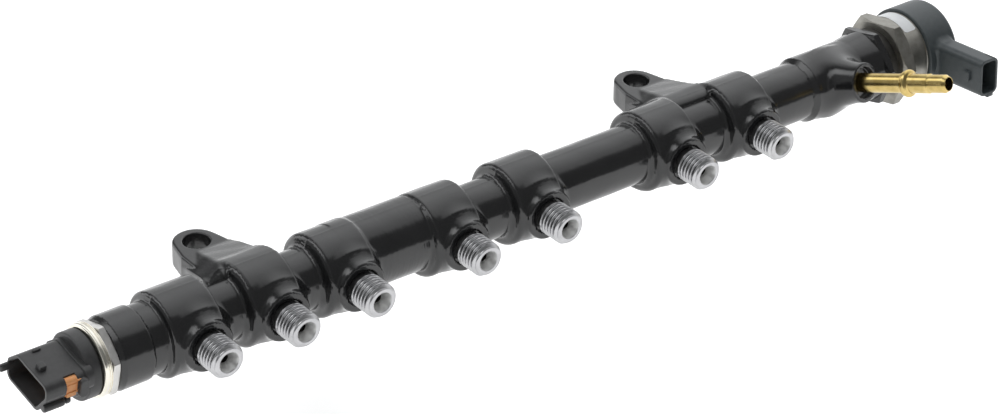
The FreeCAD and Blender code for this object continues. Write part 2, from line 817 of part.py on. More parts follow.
def build_sensor():
    nose_edge = S.sensor_bore_depth + (S.sensor_bore_dia - S.sensor_nose_dia) / 2
    nose_end = sensor_end + nose_edge - S.press_gap
    shank = S.sensor_bore_dia / 2 - S.thread_play
    shank_end = sensor_end + S.sensor_shank_run
    spigot = S.sensor_spigot_dia / 2
    turning = new_body("sensor_turned")
    turned(turning, "sensor_turning", "XY_Plane", [
        (foot_front, 0),
        (foot_front, spigot),
        (sensor_end, spigot),
        (sensor_end, shank),
        (shank_end - 1, shank),
        (shank_end, shank - 1),
        (shank_end, S.sensor_nose_dia / 2),
        (nose_end, S.sensor_nose_dia / 2),
        (nose_end, 0),
    ])
    plate = hexagon("sensor_hex", S.sensor_hex_flats, hex_back, S.sensor_hex_run,
                    S.sensor_hex_turn, as_size(0.4))
    room = new_body("sensor_room")
    turned(room, "sensor_boring", "XY_Plane", [
        (foot_front - 1, 0),
        (foot_front - 1, S.sensor_chamber_dia / 2),
        (chamber_floor, S.sensor_chamber_dia / 2),
        (chamber_floor, S.sensor_inlet_dia / 2),
        (nose_end + 1, S.sensor_inlet_dia / 2),
        (nose_end + 1, 0),
    ])
    finish("sensor_body", less("sensor_steel", joined("sensor_outer", [turning, plate]), room))

    ring = new_body("ring")
    outer = S.ring_dia / 2
    edge = S.ring_edge_round
    turned(ring, "ring_turning", "XY_Plane", [
        (ring_back, S.cap_neck_dia / 2 + S.press_gap),
        (ring_back, outer - edge),
        (ring_back + edge, outer, edge, -1),
        (hex_back - edge, outer),
        (hex_back, outer - edge, edge, -1),
        (hex_back, spigot + S.press_gap),
        (foot_front, spigot + S.press_gap),
        (foot_front, S.cap_flange_dia / 2 + S.press_gap),
        (ring_back + S.ring_lip, S.cap_flange_dia / 2 + S.press_gap),
        (ring_back + S.ring_lip, S.cap_neck_dia / 2 + S.press_gap),
    ])
    finish("sensor_ring", ring)

    disc = new_body("cap_disc")
    soft = S.cap_edge_round
    turned(disc, "cap_turning", "XY_Plane", [
        (cap_front, 0),
        (cap_front, S.cap_dia / 2 - soft),
        (cap_front + soft, S.cap_dia / 2, soft, -1),
        (cap_back, S.cap_dia / 2),
        (cap_back, S.cap_neck_dia / 2),
        (ring_back + S.ring_lip + S.press_gap, S.cap_neck_dia / 2),
        (ring_back + S.ring_lip + S.press_gap, S.cap_flange_dia / 2),
        (foot_front - S.press_gap, S.cap_flange_dia / 2),
        (foot_front - S.press_gap, 0),
    ])
    outside = plug_prism("plug_outside", mouth, S.plug_run, ZERO)
    inside = plug_prism("plug_inside", mouth - 1, S.plug_run - S.plug_floor + 1, S.plug_wall)
    nub = block("plug_nub", mouth + S.plug_nub_from_mouth, S.plug_nub_run,
                (-S.plug_nub_width / 2, S.plug_nub_width / 2),
                (S.plug_top - 1, S.plug_top + S.plug_nub_rise))
    rib = round_bar("plug_rib", S.plug_rib_dia, mouth, S.plug_rib_run)
    bind(rib, "Placement.Base.y", -S.plug_rib_across)
    bind(rib, "Placement.Base.z", -S.plug_rib_down)
    tab = block("plug_tab", mouth - S.plug_tab_run, S.plug_tab_run + 2,
                (S.plug_tab_across, S.plug_tab_across + S.plug_tab_width),
                (S.plug_tab_up, S.plug_tab_up + S.plug_tab_thick))
    solid = joined("cap_solid", [disc, outside, nub, rib, tab])
    slots = blade_rooms("cap_slot", S.blade_play)
    window = window_room("window", S.carrier_play)
    cap = less("cap", solid, joined("cap_rooms", [inside, window] + slots))
    finish("sensor_plug", cap, S.plug_turn)

    gap = S.carrier_play
    core = plug_prism("carrier_core", carrier_front, cap_front - S.plug_floor - gap - carrier_front,
                      S.plug_wall + gap)
    filled = joined("carrier_solid", [core, window_room("carrier_side", ZERO)])
    rooms = joined("carrier_rooms", blade_rooms("carrier_slot", S.blade_play))
    finish("contact_carrier", less("carrier", filled, rooms), S.plug_turn)

    for number, blade in enumerate(blade_rooms("blade", ZERO), start=1):
        finish(f"sensor_terminal_{number}", blade, S.plug_turn)

    cell = new_body("cell")
    turned(cell, "cell_turning", "XY_Plane", [
        (cell_back, 0),
        (cell_back, S.cell_dia / 2),
        (chamber_floor, S.cell_dia / 2),
        (chamber_floor, S.sensor_inlet_dia / 2),
        (cell_back + S.cell_skin, S.sensor_inlet_dia / 2),
        (cell_back + S.cell_skin, 0),
    ])
    finish("measuring_cell", cell)
    board = new_body("board")
    turned(board, "board_turning", "XY_Plane", [
        (board_back, 0),
        (board_back, S.board_dia / 2),
        (cell_back, S.board_dia / 2),
        (cell_back, 0),
    ])
    finish("circuit_board", board)


# The pressure control valve
valve_hex_front = valve_end + S.valve_gap_run
valve_hex_back = valve_hex_front + S.valve_hex_run
can_back = valve_hex_back + S.valve_can_run
cap_end = can_back + S.valve_cap_run
room_front = valve_hex_back + S.valve_can_floor
coil_back = cap_end - S.valve_cap_floor - S.core_flange_run
core_front = coil_back - S.core_run
armature_back = core_front - S.armature_travel
armature_front = armature_back - S.armature_run
socket_station = cap_end - S.socket_before_cap_end
valve_nose_edge = S.valve_bore_depth + (S.valve_bore_dia - S.valve_nose_dia) / 2
valve_nose = valve_end - valve_nose_edge + S.press_gap
seat_face = valve_nose + S.seat_run
ball_centre = seat_face - S.seat_mouth_dia / 2 + S.ball_dia * 0.7071 + S.press_gap
ball_room_end = ball_centre + S.ball_dia / 2 + S.ball_room
o_ring_room = S.o_ring_wire + S.o_ring_margin * 2
land_front = valve_end - S.valve_thread_run - S.valve_land_run
o_ring_station = land_front + S.valve_land_run / 2
o_ring_reach = S.valve_bore_dia / 2 - S.press_gap - S.o_ring_wire / 2


def valve_blades(prefix, play):
    """The two blades of the valve, or the slots for them, with the given play."""
    made = []
    floor = S.socket_reach - S.socket_depth
    inner = S.valve_cap_dia / 2 - 2
    for step in (-1, 1):
        middle = S.socket_blade_spacing / 2 * step
        wide = S.blade_width / 2 + play
        thin = S.blade_thick / 2 + play
        made.append(outward_block(f"{prefix}_{(step + 3) // 2}", inner, floor + S.blade_reach - inner,
                                  (socket_station - thin, socket_station + thin),
                                  (middle - wide, middle + wide)))
    return made


def build_valve():
    shank = S.valve_bore_dia / 2 - S.thread_play
    groove = o_ring_reach - S.o_ring_wire / 2 - S.press_gap
    body = new_body("valve_turned")
    turned(body, "valve_turning", "XY_Plane", [
        (valve_nose, 0),
        (valve_nose, S.valve_nose_dia / 2),
        (land_front, S.valve_nose_dia / 2),
        (land_front, shank),
        (o_ring_station - o_ring_room / 2, shank),
        (o_ring_station - o_ring_room / 2, groove),
        (o_ring_station + o_ring_room / 2, groove),
        (o_ring_station + o_ring_room / 2, shank),
        (valve_end, shank),
        (valve_end, S.valve_gap_dia / 2),
        (valve_hex_front, S.valve_gap_dia / 2),
        (valve_hex_back, S.valve_can_dia / 2),
        (can_back, S.valve_can_dia / 2),
        (can_back, 0),
    ])
    plate = hexagon("valve_hex", S.valve_hex_flats, valve_hex_front, S.valve_hex_run,
                    S.valve_hex_turn, S.valve_hex_chamfer)
    room = S.valve_can_dia / 2 - S.valve_can_wall
    slide = S.stem_dia / 2 + S.slide_play
    rooms = new_body("valve_rooms")
    turned(rooms, "valve_boring", "XY_Plane", [
        (valve_nose - 1, 0),
        (valve_nose - 1, S.seat_dia / 2),
        (seat_face, S.seat_dia / 2),
        (seat_face, S.ball_dia / 2 + S.ball_room),
        (ball_room_end, S.ball_dia / 2 + S.ball_room),
        (ball_room_end, slide),
        (room_front, slide),
        (room_front, room),
        (can_back + 1, room),
        (can_back + 1, 0),
    ])
    outlet = doc.addObject("Part::Cylinder", "return_hole")
    bind(outlet, "Radius", S.return_hole_dia / 2)
    bind(outlet, "Height", S.valve_nose_dia)
    bind(outlet, "Placement.Base.x", ball_centre)
    bind(outlet, "Placement.Base.z", -S.valve_nose_dia / 2)
    solid = joined("valve_outer", [body, plate])
    finish("valve_body", less("valve_steel", solid, joined("valve_cuts", [rooms, outlet])))

    cap_round = S.valve_cap_round
    outside = S.valve_cap_dia / 2
    shell = new_body("valve_cap_turned")
    turned(shell, "valve_cap_turning", "XY_Plane", [
        (can_back, room),
        (can_back, outside - cap_round / 2),
        (can_back + cap_round / 2, outside),
        (cap_end - cap_round, outside),
        (cap_end, outside - cap_round, cap_round, -1),
        (cap_end, 0),
        (cap_end - S.valve_cap_floor, 0),
        (cap_end - S.valve_cap_floor, room),
    ])
    half = S.socket_width / 2
    tall = S.socket_height / 2
    wall = S.socket_wall
    root = outside - 2
    tube = outward_block("socket_tube", root, S.socket_reach - root,
                         (socket_station - half, socket_station + half), (-tall, tall))
    rounded(tube, "socket_tube_round", "Y", S.socket_corner)
    hollow = outward_block("socket_hollow", S.socket_reach - S.socket_depth, S.socket_depth + 1,
                           (socket_station - half + wall, socket_station + half - wall),
                           (wall - tall, tall - wall))
    rounded(hollow, "socket_hollow_round", "Y", S.socket_corner - wall)
    nub_start = S.socket_reach - S.socket_nub_from_mouth - S.socket_nub_run
    nub = outward_block("socket_nub", nub_start, S.socket_nub_run,
                        (socket_station - half - S.socket_nub_rise, socket_station - half + 0.5),
                        (-S.socket_nub_width / 2, S.socket_nub_width / 2))
    slots = valve_blades("valve_slot", S.blade_play)
    plastic = joined("valve_cap_solid", [shell, tube, nub])
    finish("valve_cap", less("valve_cap_cut", plastic, joined("valve_cap_rooms", [hollow] + slots)),
           -S.socket_tilt)
    for number, blade in enumerate(valve_blades("valve_blade", ZERO), start=1):
        finish(f"valve_terminal_{number}", blade, -S.socket_tilt)

    bore = S.bobbin_bore_dia / 2
    wrap = bore + S.bobbin_wall
    wall = S.bobbin_wall
    rim = S.bobbin_flange_dia / 2
    bobbin = new_body("bobbin_body")
    turned(bobbin, "bobbin_turning", "XY_Plane", [
        (room_front, bore),
        (room_front, rim),
        (room_front + wall, rim),
        (room_front + wall, wrap),
        (coil_back - wall, wrap),
        (coil_back - wall, rim),
        (coil_back, rim),
        (coil_back, bore),
    ])
    finish("bobbin", bobbin)
    coil = new_body("coil_body")
    turned(coil, "coil_turning", "XY_Plane", [
        (room_front + wall + S.press_gap, wrap + S.press_gap),
        (room_front + wall + S.press_gap, S.coil_dia / 2),
        (coil_back - wall - S.press_gap, S.coil_dia / 2),
        (coil_back - wall - S.press_gap, wrap + S.press_gap),
    ])
    finish("coil", coil)
    pocket = S.spring_dia / 2 + S.slide_play
    core = new_body("core_body")
    turned(core, "core_turning", "XY_Plane", [
        (core_front, pocket),
        (core_front, bore - S.press_gap),
        (coil_back, bore - S.press_gap),
        (coil_back, S.core_flange_dia / 2),
        (coil_back + S.core_flange_run, S.core_flange_dia / 2),
        (coil_back + S.core_flange_run, 0),
        (core_front + S.spring_run - S.armature_travel, 0),
        (core_front + S.spring_run - S.armature_travel, pocket),
    ])
    finish("pole_core", core)
    finish("armature", round_bar("armature_body", S.bobbin_bore_dia - S.slide_play * 2,
                                 armature_front, S.armature_run))
    stem_front = ball_centre + S.ball_dia / 2
    finish("valve_stem", round_bar("stem_body", S.stem_dia, stem_front, armature_front - stem_front))
    ball = doc.addObject("Part::Sphere", "ball_body")
    bind(ball, "Radius", S.ball_dia / 2)
    bind(ball, "Placement.Base.x", ball_centre)
    finish("valve_ball", ball)
    seat = new_body("seat_body")
    mouth_depth = (S.seat_mouth_dia - S.seat_bore_dia) / 2
    turned(seat, "seat_turning", "XY_Plane", [
        (valve_nose, S.seat_bore_dia / 2),
        (valve_nose, S.seat_dia / 2 - S.press_gap),
        (seat_face, S.seat_dia / 2 - S.press_gap),
        (seat_face, S.seat_mouth_dia / 2),
        (seat_face - mouth_depth, S.seat_bore_dia / 2),
    ])
    finish("valve_seat", seat)

    # The spring between the armature and the core
    wire = S.spring_wire / 2
    coil_line = doc.addObject("Part::Helix", "spring_line")
    bind(coil_line, "Pitch", S.spring_pitch)
    bind(coil_line, "Height", S.spring_run - S.spring_wire - S.press_gap * 2)
    bind(coil_line, "Radius", S.spring_dia / 2 - wire)
    section = doc.addObject("Part::Circle", "spring_section")
    bind(section, "Radius", wire)
    section.Placement.Rotation = FreeCAD.Rotation(FreeCAD.Vector(1, 0, 0), 90)
    bind(section, "Placement.Base.x", S.spring_dia / 2 - wire)
    spring = doc.addObject("Part::Sweep", "spring_body")
    spring.Sections = [section]
    spring.Spine = (coil_line, ["Edge1"])
    spring.Solid = True
    spring.Frenet = True
    spring.Placement.Rotation = FreeCAD.Rotation(FreeCAD.Vector(0, 1, 0), 90)
    bind(spring, "Placement.Base.x", armature_back + wire + S.press_gap)
    finish("valve_spring", spring)

    ring = doc.addObject("Part::Torus", "o_ring_body")
    bind(ring, "Radius1", o_ring_reach)
    bind(ring, "Radius2", S.o_ring_wire / 2)
    ring.Placement.Rotation = FreeCAD.Rotation(FreeCAD.Vector(0, 1, 0), 90)
    bind(ring, "Placement.Base.x", o_ring_station)
    finish("o_ring", ring)

    label = new_body("label_body")
    inner = S.valve_can_dia / 2 + S.press_gap
    start = valve_hex_back + S.label_from_can_front
    patch = turned(label, "label_turning", "XY_Plane", [
        (start, inner),
        (start, inner + S.label_thick),
        (start + S.label_run, inner + S.label_thick),
        (start + S.label_run, inner),
    ])
    bind(patch, "Angle", S.label_arc)
    finish("blank_label", label, S.label_turn)


build_rail()
build_nipple()
build_sensor()
build_valve()
doc.recompute()

for thing in doc.Objects:
    if "Invalid" in thing.State or "Error" in thing.State:
        raise RuntimeError(f"{thing.Name} {thing.State}")
os.makedirs("parts", exist_ok=True)
for node, thing in nodes.items():
    shape = thing.Shape
    if shape.isNull() or not shape.isValid():
        raise RuntimeError(f"{node} has no valid shape")
    shape.exportStep(f"parts/{node}.step")
    print(node, "solids", len(shape.Solids), "volume", round(shape.Volume, 1), shape.BoundBox)
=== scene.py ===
# %% [markdown]
# # A fuel rail, built around its construction model
#
# This part is the high pressure fuel rail of an engine: one black painted steel forging with
# seven threaded stubs and two bolt lugs, a yellow plated return nipple, a pressure sensor
# screwed into one end and a pressure control valve screwed into the other.
#
# The construction model is already made and loads as a fixed frame. What is left for this
# file is how the part looks. The forging needs the soft blends of forged steel, which run
# softer than a construction model's fillets. The stubs need real screw threads. Each piece
# needs a finish that holds up close to the lens.

# %% Load the frame
import json
import math

import bmesh
import bpy
import numpy as np
from mathutils import Matrix, Vector


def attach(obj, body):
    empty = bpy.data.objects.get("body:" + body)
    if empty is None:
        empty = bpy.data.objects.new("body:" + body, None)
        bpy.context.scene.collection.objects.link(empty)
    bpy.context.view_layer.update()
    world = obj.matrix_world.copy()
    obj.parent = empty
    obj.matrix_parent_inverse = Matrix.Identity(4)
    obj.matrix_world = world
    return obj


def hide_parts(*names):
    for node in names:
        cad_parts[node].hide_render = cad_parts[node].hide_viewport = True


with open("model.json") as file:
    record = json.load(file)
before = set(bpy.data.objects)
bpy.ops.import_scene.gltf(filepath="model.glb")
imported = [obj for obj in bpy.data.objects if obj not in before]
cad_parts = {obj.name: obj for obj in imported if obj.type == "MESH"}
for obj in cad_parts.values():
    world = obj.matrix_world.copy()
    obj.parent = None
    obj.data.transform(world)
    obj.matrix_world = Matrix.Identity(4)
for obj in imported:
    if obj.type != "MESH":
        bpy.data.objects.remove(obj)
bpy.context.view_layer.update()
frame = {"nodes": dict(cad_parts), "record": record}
MM = 0.001
print("nodes in the frame:", len(frame["nodes"]))

# %% [markdown]
# ## Measure the frame
#
# Everything along the rail is placed from the mounts that the frame's record already states:
# the two lug holes, the seven ports and the nipple. The pieces are drawn in millimetres about
# the rail's own axis, because nearly all of them are round about it, and one matrix moves each
# finished mesh to its place in metres.

# %% Find the rail's axis and its ports
PORT_MOUNT_OUT = 21.1
SENSOR_END_BEFORE_PORT_1 = 29.7
VALVE_END_AFTER_PORT_7 = 65.8
mounts = {mount["name"]: mount for mount in frame["record"]["mounts"]}
ports = [mounts[f"port_{number}"]["pos_m"][0] / MM for number in range(1, 8)]
AXIS_Y = mounts["port_1"]["pos_m"][1] / MM + PORT_MOUNT_OUT
AXIS_Z = mounts["port_1"]["pos_m"][2] / MM
LUG_PITCH = mounts["lug_holes"]["dims"]["spacing_x_mm"]
lugs = [-LUG_PITCH / 2, LUG_PITCH / 2]
SENSOR_END = ports[0] - SENSOR_END_BEFORE_PORT_1
VALVE_END = ports[6] + VALVE_END_AFTER_PORT_7
to_place = Matrix.Translation(Vector((0, AXIS_Y, AXIS_Z)) * MM) @ Matrix.Scale(MM, 4)
print("ports at", [round(port, 1) for port in ports], "axis", AXIS_Y, AXIS_Z)


# %% [markdown]
# ## Camera, light and floor
#
# The photograph was taken with a long lens, which is why the far end of the rail is hardly
# smaller than the near end. Its place was worked out from the seven equal stubs: seven points
# a known distance apart fix the lens, the distance and the direction together. The camera
# rolls by two degrees, as a hand held camera does.

# %% Camera at the photograph's angle
CAMERA_AZIMUTH = math.radians(-39.19)
CAMERA_ELEVATION = math.radians(31.12)
CAMERA_ROLL = math.radians(1.97)
CAMERA_DISTANCE = 1068.5
CAMERA_TARGET = Vector((5.2, -33.7, 3.7))
LENS_PIXELS = 3226.0
PHOTO_WIDTH = 1000.0
SENSOR_WIDTH = 36.0

back = Vector((
    math.sin(CAMERA_AZIMUTH) * math.cos(CAMERA_ELEVATION),
    -math.cos(CAMERA_AZIMUTH) * math.cos(CAMERA_ELEVATION),
    math.sin(CAMERA_ELEVATION),
))
level_right = Vector((math.cos(CAMERA_AZIMUTH), math.sin(CAMERA_AZIMUTH), 0))
level_up = back.cross(level_right)
right = level_right * math.cos(CAMERA_ROLL) + level_up * math.sin(CAMERA_ROLL)
up = level_up * math.cos(CAMERA_ROLL) - level_right * math.sin(CAMERA_ROLL)
lens = bpy.data.cameras.new("camera")
lens.sensor_width = SENSOR_WIDTH
lens.lens = LENS_PIXELS / PHOTO_WIDTH * SENSOR_WIDTH
lens.clip_end = 20
camera = bpy.data.objects.new("camera", lens)
bpy.context.collection.objects.link(camera)
place = (CAMERA_TARGET + back * CAMERA_DISTANCE) * MM
camera.matrix_world = Matrix.Translation(place) @ Matrix((right, up, back)).transposed().to_4x4()
bpy.context.scene.camera = camera
bpy.context.scene.view_settings.view_transform = "Standard"
print("camera at", [round(value, 3) for value in place])


# %% [markdown]
# A black glossy part shows its form only by what it reflects. The photograph tells what that
# was: each tube has a grey band on top with a soft lower edge, then a dark band, then a grey
# band again below. So a large soft box hung over and behind the rail, the room on the camera's
# side was dark, and the table was white. What faces left is dark too, apart from a narrow
# bright streak, so a thin light stood further round on that side.
#
# The world here is that studio, painted by direction and the same for every camera. One ramp
# gives the level from front to back, a second one the share of it from left to right, and
# the two are multiplied. Lamps could do it as well, but they would show in the paint as hard
# white spots.

# %% The studio as a world
LEVELS = ((-0.54, 0.16), (-0.45, 0.2), (-0.32, 0.85), (-0.1, 1.05), (0.1, 1.3), (0.45, 1.5), (0.8, 1.05))
SIDES = ((-0.62, 0.25), (-0.5, 1.7), (-0.28, 1.7), (-0.14, 0.1), (-0.05, 0.06), (0.38, 1.0))
LEVELS_TOP = 1.5
SIDES_TOP = 1.7
ROOM = 0.16
TENT_COLOUR = (0.98, 0.99, 1.0, 1)


def studio_world():
    """A world whose brightness depends on the direction's Y and X."""
    world = bpy.data.worlds.new("studio")
    world.use_nodes = True
    nodes, links = world.node_tree.nodes, world.node_tree.links
    nodes.clear()
    where = nodes.new("ShaderNodeTexCoord")
    parts = nodes.new("ShaderNodeSeparateXYZ")
    links.new(where.outputs["Generated"], parts.inputs[0])
    shares = []
    for part, stops, top in (("Y", LEVELS, LEVELS_TOP), ("X", SIDES, SIDES_TOP)):
        reach = nodes.new("ShaderNodeMapRange")
        reach.inputs["From Min"].default_value = -1
        links.new(parts.outputs[part], reach.inputs["Value"])
        levels = nodes.new("ShaderNodeValToRGB")
        elements = levels.color_ramp.elements
        while len(elements) < len(stops):
            elements.new(1.0)
        for element, (direction, level) in zip(elements, stops):
            element.position = (direction + 1) / 2
            element.color = (level / top, level / top, level / top, 1)
        links.new(reach.outputs["Result"], levels.inputs["Fac"])
        shares.append(levels.outputs["Color"])
    both = nodes.new("ShaderNodeMath")
    both.operation = "MULTIPLY"
    links.new(shares[0], both.inputs[0])
    links.new(shares[1], both.inputs[1])
    box = nodes.new("ShaderNodeMath")
    box.operation = "MULTIPLY"
    box.inputs[1].default_value = LEVELS_TOP * SIDES_TOP
    links.new(both.outputs[0], box.inputs[0])
    brighter = nodes.new("ShaderNodeMath")
    brighter.operation = "MAXIMUM"
    brighter.inputs[1].default_value = ROOM
    links.new(box.outputs[0], brighter.inputs[0])
    tent = nodes.new("ShaderNodeBackground")
    tent.inputs["Color"].default_value = TENT_COLOUR
    links.new(brighter.outputs[0], tent.inputs["Strength"])
    white = nodes.new("ShaderNodeBackground")
    white.inputs["Color"].default_value = (1, 1, 1, 1)
    rays = nodes.new("ShaderNodeLightPath")
    mix = nodes.new("ShaderNodeMixShader")
    links.new(rays.outputs["Is Camera Ray"], mix.inputs[0])
    links.new(tent.outputs[0], mix.inputs[1])
    links.new(white.outputs[0], mix.inputs[2])
    output = nodes.new("ShaderNodeOutputWorld")
    links.new(mix.outputs[0], output.inputs[0])
    bpy.context.scene.world = world


studio_world()
print("world:", bpy.context.scene.world.name)

# %% [markdown]
# The floor is pale and plain. A diffuse floor alone would render light grey, so it glows a
# little as well, but only for the camera and for the paint and metal that mirror it. The light
# on the part stays as it is, and its soft shadow stays on the floor.

# %% The floor
FLOOR_DROP = -45.0
FLOOR_SIZE = 6.0
FLOOR_GLOW = 0.64
FLOOR_COLOUR = (0.9, 0.9, 0.9, 1)


def pale_floor():
    """One square, its glow switched by the kind of ray that meets it."""
    mesh = bpy.data.meshes.new("floor")
    half = FLOOR_SIZE / 2
    corners = [(-half, -half), (half, -half), (half, half), (-half, half)]
    mesh.from_pydata([(x, y, FLOOR_DROP * MM) for x, y in corners], [], [(0, 1, 2, 3)])
    floor = bpy.data.objects.new("floor", mesh)
    bpy.context.collection.objects.link(floor)
    coat = bpy.data.materials.new("pale_floor")
    coat.use_nodes = True
    nodes, links = coat.node_tree.nodes, coat.node_tree.links
    shader = nodes["Principled BSDF"]
    shader.inputs["Base Color"].default_value = FLOOR_COLOUR
    shader.inputs["Roughness"].default_value = 0.9
    shader.inputs["Specular IOR Level"].default_value = 0.1
    rays = nodes.new("ShaderNodeLightPath")
    seen = nodes.new("ShaderNodeMath")
    seen.operation = "MAXIMUM"
    links.new(rays.outputs["Is Camera Ray"], seen.inputs[0])
    links.new(rays.outputs["Is Glossy Ray"], seen.inputs[1])
    clear = nodes.new("ShaderNodeMath")
    clear.operation = "MAXIMUM"
    links.new(seen.outputs[0], clear.inputs[0])
    links.new(rays.outputs["Is Transmission Ray"], clear.inputs[1])
    glow = nodes.new("ShaderNodeMath")
    glow.operation = "MULTIPLY"
    glow.inputs[1].default_value = FLOOR_GLOW
    links.new(clear.outputs[0], glow.inputs[0])
    shader.inputs["Emission Color"].default_value = (1, 1, 1, 1)
    links.new(glow.outputs[0], shader.inputs["Emission Strength"])
    mesh.materials.append(coat)


pale_floor()
print("floor at", FLOOR_DROP, "mm, under the lowest piece")


# %% [markdown]
# ## Finishes
#
# Every finish is procedural and measured in real millimetres: the nodes read the object's own
# coordinates, so a grain of 0.3 mm is 0.3 mm on each piece. One helper lays down what all
# of them share, which is a colour that wanders a little between two tones, a roughness that
# does the same, and a fine bump. Paint, plated steel and moulded plastic then differ only in
# their numbers. Metal and gloss level are constants on the shader itself.

# %% One helper for all finishes
GRAINS_TO_A_PATCH = 14
TONE_ENDS = (0.32, 0.68)
GRAIN_DEPTH = 0.2
DENT_DEPTH = 0.012


def noise(nodes, links, where, size_mm, detail):
    """A noise whose features are about that many millimetres across."""
    texture = nodes.new("ShaderNodeTexNoise")
    texture.inputs["Scale"].default_value = 1 / (size_mm * MM)
    texture.inputs["Detail"].default_value = detail
    links.new(where.outputs["Object"], texture.inputs["Vector"])
    return texture.outputs["Fac"]


def relief(nodes, links, height, strength, depth_mm, under=None):
    """A bump node on a height, over another bump's normal if there is one."""
    bump = nodes.new("ShaderNodeBump")
    bump.inputs["Strength"].default_value = strength
    bump.inputs["Distance"].default_value = depth_mm * MM
    links.new(height, bump.inputs["Height"])
    if under:
        links.new(under, bump.inputs["Normal"])
    return bump.outputs["Normal"]


def finish(name, low, high, metallic, roughness, spread, grain_mm, bump, dents_mm=0, **shader_values):
    """A material whose colour and roughness wander, with a fine bump. Sizes in millimetres."""
    coat = bpy.data.materials.new(name)
    coat.use_nodes = True
    nodes, links = coat.node_tree.nodes, coat.node_tree.links
    shader = nodes["Principled BSDF"]
    shader.inputs["Metallic"].default_value = metallic
    for socket, value in shader_values.items():
        shader.inputs[socket.replace("_", " ")].default_value = value
    where = nodes.new("ShaderNodeTexCoord")
    patches = noise(nodes, links, where, grain_mm * GRAINS_TO_A_PATCH, 5)
    tones = nodes.new("ShaderNodeValToRGB")
    for element, position, colour in zip(tones.color_ramp.elements, TONE_ENDS, (low, high)):
        element.position = position
        element.color = (*colour, 1)
    links.new(patches, tones.inputs["Fac"])
    links.new(tones.outputs["Color"], shader.inputs["Base Color"])
    dull = nodes.new("ShaderNodeMapRange")
    dull.inputs["To Min"].default_value = roughness - spread
    dull.inputs["To Max"].default_value = roughness + spread
    links.new(patches, dull.inputs["Value"])
    links.new(dull.outputs["Result"], shader.inputs["Roughness"])
    grain = noise(nodes, links, where, grain_mm, 3)
    normal = relief(nodes, links, grain, bump, grain_mm * GRAIN_DEPTH)
    if dents_mm:
        dents = noise(nodes, links, where, dents_mm, 2)
        normal = relief(nodes, links, dents, 1.0, dents_mm * DENT_DEPTH, normal)
    links.new(normal, shader.inputs["Normal"])
    return coat


print("a dent's depth is", DENT_DEPTH, "of its width")

# %% [markdown]
# The forging is dipped in a black paint: glossy, nearly smooth, and a little uneven from the
# scale under it, which is what makes its reflections run. The sensor's and the valve's steel
# is zinc plated and warm grey. The plastics are moulded with a fine grain. A stub is bare
# steel; its grooves and its drilling are painted dark as shade, and the seat in its mouth is
# painted pale for the light it reflects. The valve's shank is painted nearly black as shade.
# Each row below gives two tones, how metallic, how rough and by how much that varies, the
# grain in millimetres and its bump.

# %% The finishes
black_paint = finish("black_paint", (0.0150, 0.0152, 0.0158), (0.0195, 0.0197, 0.0203),
                     0.0, 0.15, 0.04, 0.7, 0.10, dents_mm=5.0, Specular_IOR_Level=0.70)
thread_steel = finish("thread_steel", (0.47, 0.47, 0.48), (0.58, 0.58, 0.59),
                      0.95, 0.30, 0.06, 0.25, 0.22)
# painted shade: the thread's grooves are darker than its crests
groove_shade_steel = finish("groove_shade_steel", (0.11, 0.11, 0.11), (0.19, 0.19, 0.19),
                      0.8, 0.45, 0.08, 0.25, 0.22)
# painted shade: the drilling is nearly black
bore_painted_shade = finish("bore_painted_shade", (0.015, 0.014, 0.013), (0.03, 0.028, 0.026),
                   0.4, 0.5, 0.08, 0.25, 0.2)
# painted light: the seat in the mouth is paler, for the light it reflects
seat_painted_light = finish("seat_painted_light", (0.66, 0.66, 0.65), (0.78, 0.78, 0.77),
                    0.55, 0.42, 0.08, 0.25, 0.15)
plated_steel = finish("plated_steel", (0.25, 0.242, 0.218), (0.35, 0.34, 0.31),
                      0.9, 0.36, 0.08, 0.22, 0.30)
pale_steel = finish("pale_steel", (0.62, 0.61, 0.59), (0.74, 0.73, 0.71),
                    0.95, 0.33, 0.07, 0.25, 0.15)
bright_steel = finish("bright_steel", (0.78, 0.75, 0.66), (0.88, 0.85, 0.77),
                      1.0, 0.20, 0.05, 0.25, 0.08)
# painted shade: the valve's shank lies in the dark gap, so its steel is nearly black
shank_shade_steel = finish("shank_shade_steel", (0.05, 0.048, 0.045), (0.09, 0.087, 0.08),
                    0.7, 0.45, 0.10, 0.3, 0.2)
yellow_plating = finish("yellow_plating", (0.56, 0.41, 0.14), (0.70, 0.54, 0.22),
                        1.0, 0.24, 0.06, 0.25, 0.12)
black_plastic = finish("black_plastic", (0.046, 0.046, 0.047), (0.058, 0.058, 0.059),
                       0.0, 0.42, 0.06, 0.12, 0.30)
grey_plastic = finish("grey_plastic", (0.058, 0.070, 0.075), (0.070, 0.083, 0.088),
                      0.0, 0.42, 0.06, 0.12, 0.30)
orange_plastic = finish("orange_plastic", (0.92, 0.36, 0.12), (0.96, 0.46, 0.19),
                        0.0, 0.45, 0.05, 0.2, 0.2)
tinned_brass = finish("tinned_brass", (0.66, 0.60, 0.44), (0.76, 0.70, 0.54),
                      1.0, 0.28, 0.05, 0.2, 0.1)
copper_wire = finish("copper_wire", (0.55, 0.22, 0.10), (0.70, 0.32, 0.16),
                     1.0, 0.30, 0.05, 0.2, 0.1)
soft_iron = finish("soft_iron", (0.34, 0.34, 0.34), (0.44, 0.44, 0.44),
                   1.0, 0.40, 0.08, 0.2, 0.1)
green_lacquer = finish("green_lacquer", (0.01, 0.10, 0.04), (0.02, 0.15, 0.06),
                       0.0, 0.30, 0.05, 0.2, 0.1)
black_rubber = finish("black_rubber", (0.012, 0.012, 0.012), (0.02, 0.02, 0.02),
                      0.0, 0.65, 0.08, 0.15, 0.3)
white_film = finish("white_film", (0.80, 0.82, 0.84), (0.87, 0.89, 0.90),
                    0.0, 0.40, 0.06, 0.25, 0.15)
print("finishes:", len(bpy.data.materials))


# %% [markdown]
# The stubs were masked when the rail was painted, and not quite to their roots, so the first
# turns of each thread are black with a ragged edge. The finish mixes the two colours by how
# far out a point lies, and a noise shifts that edge.

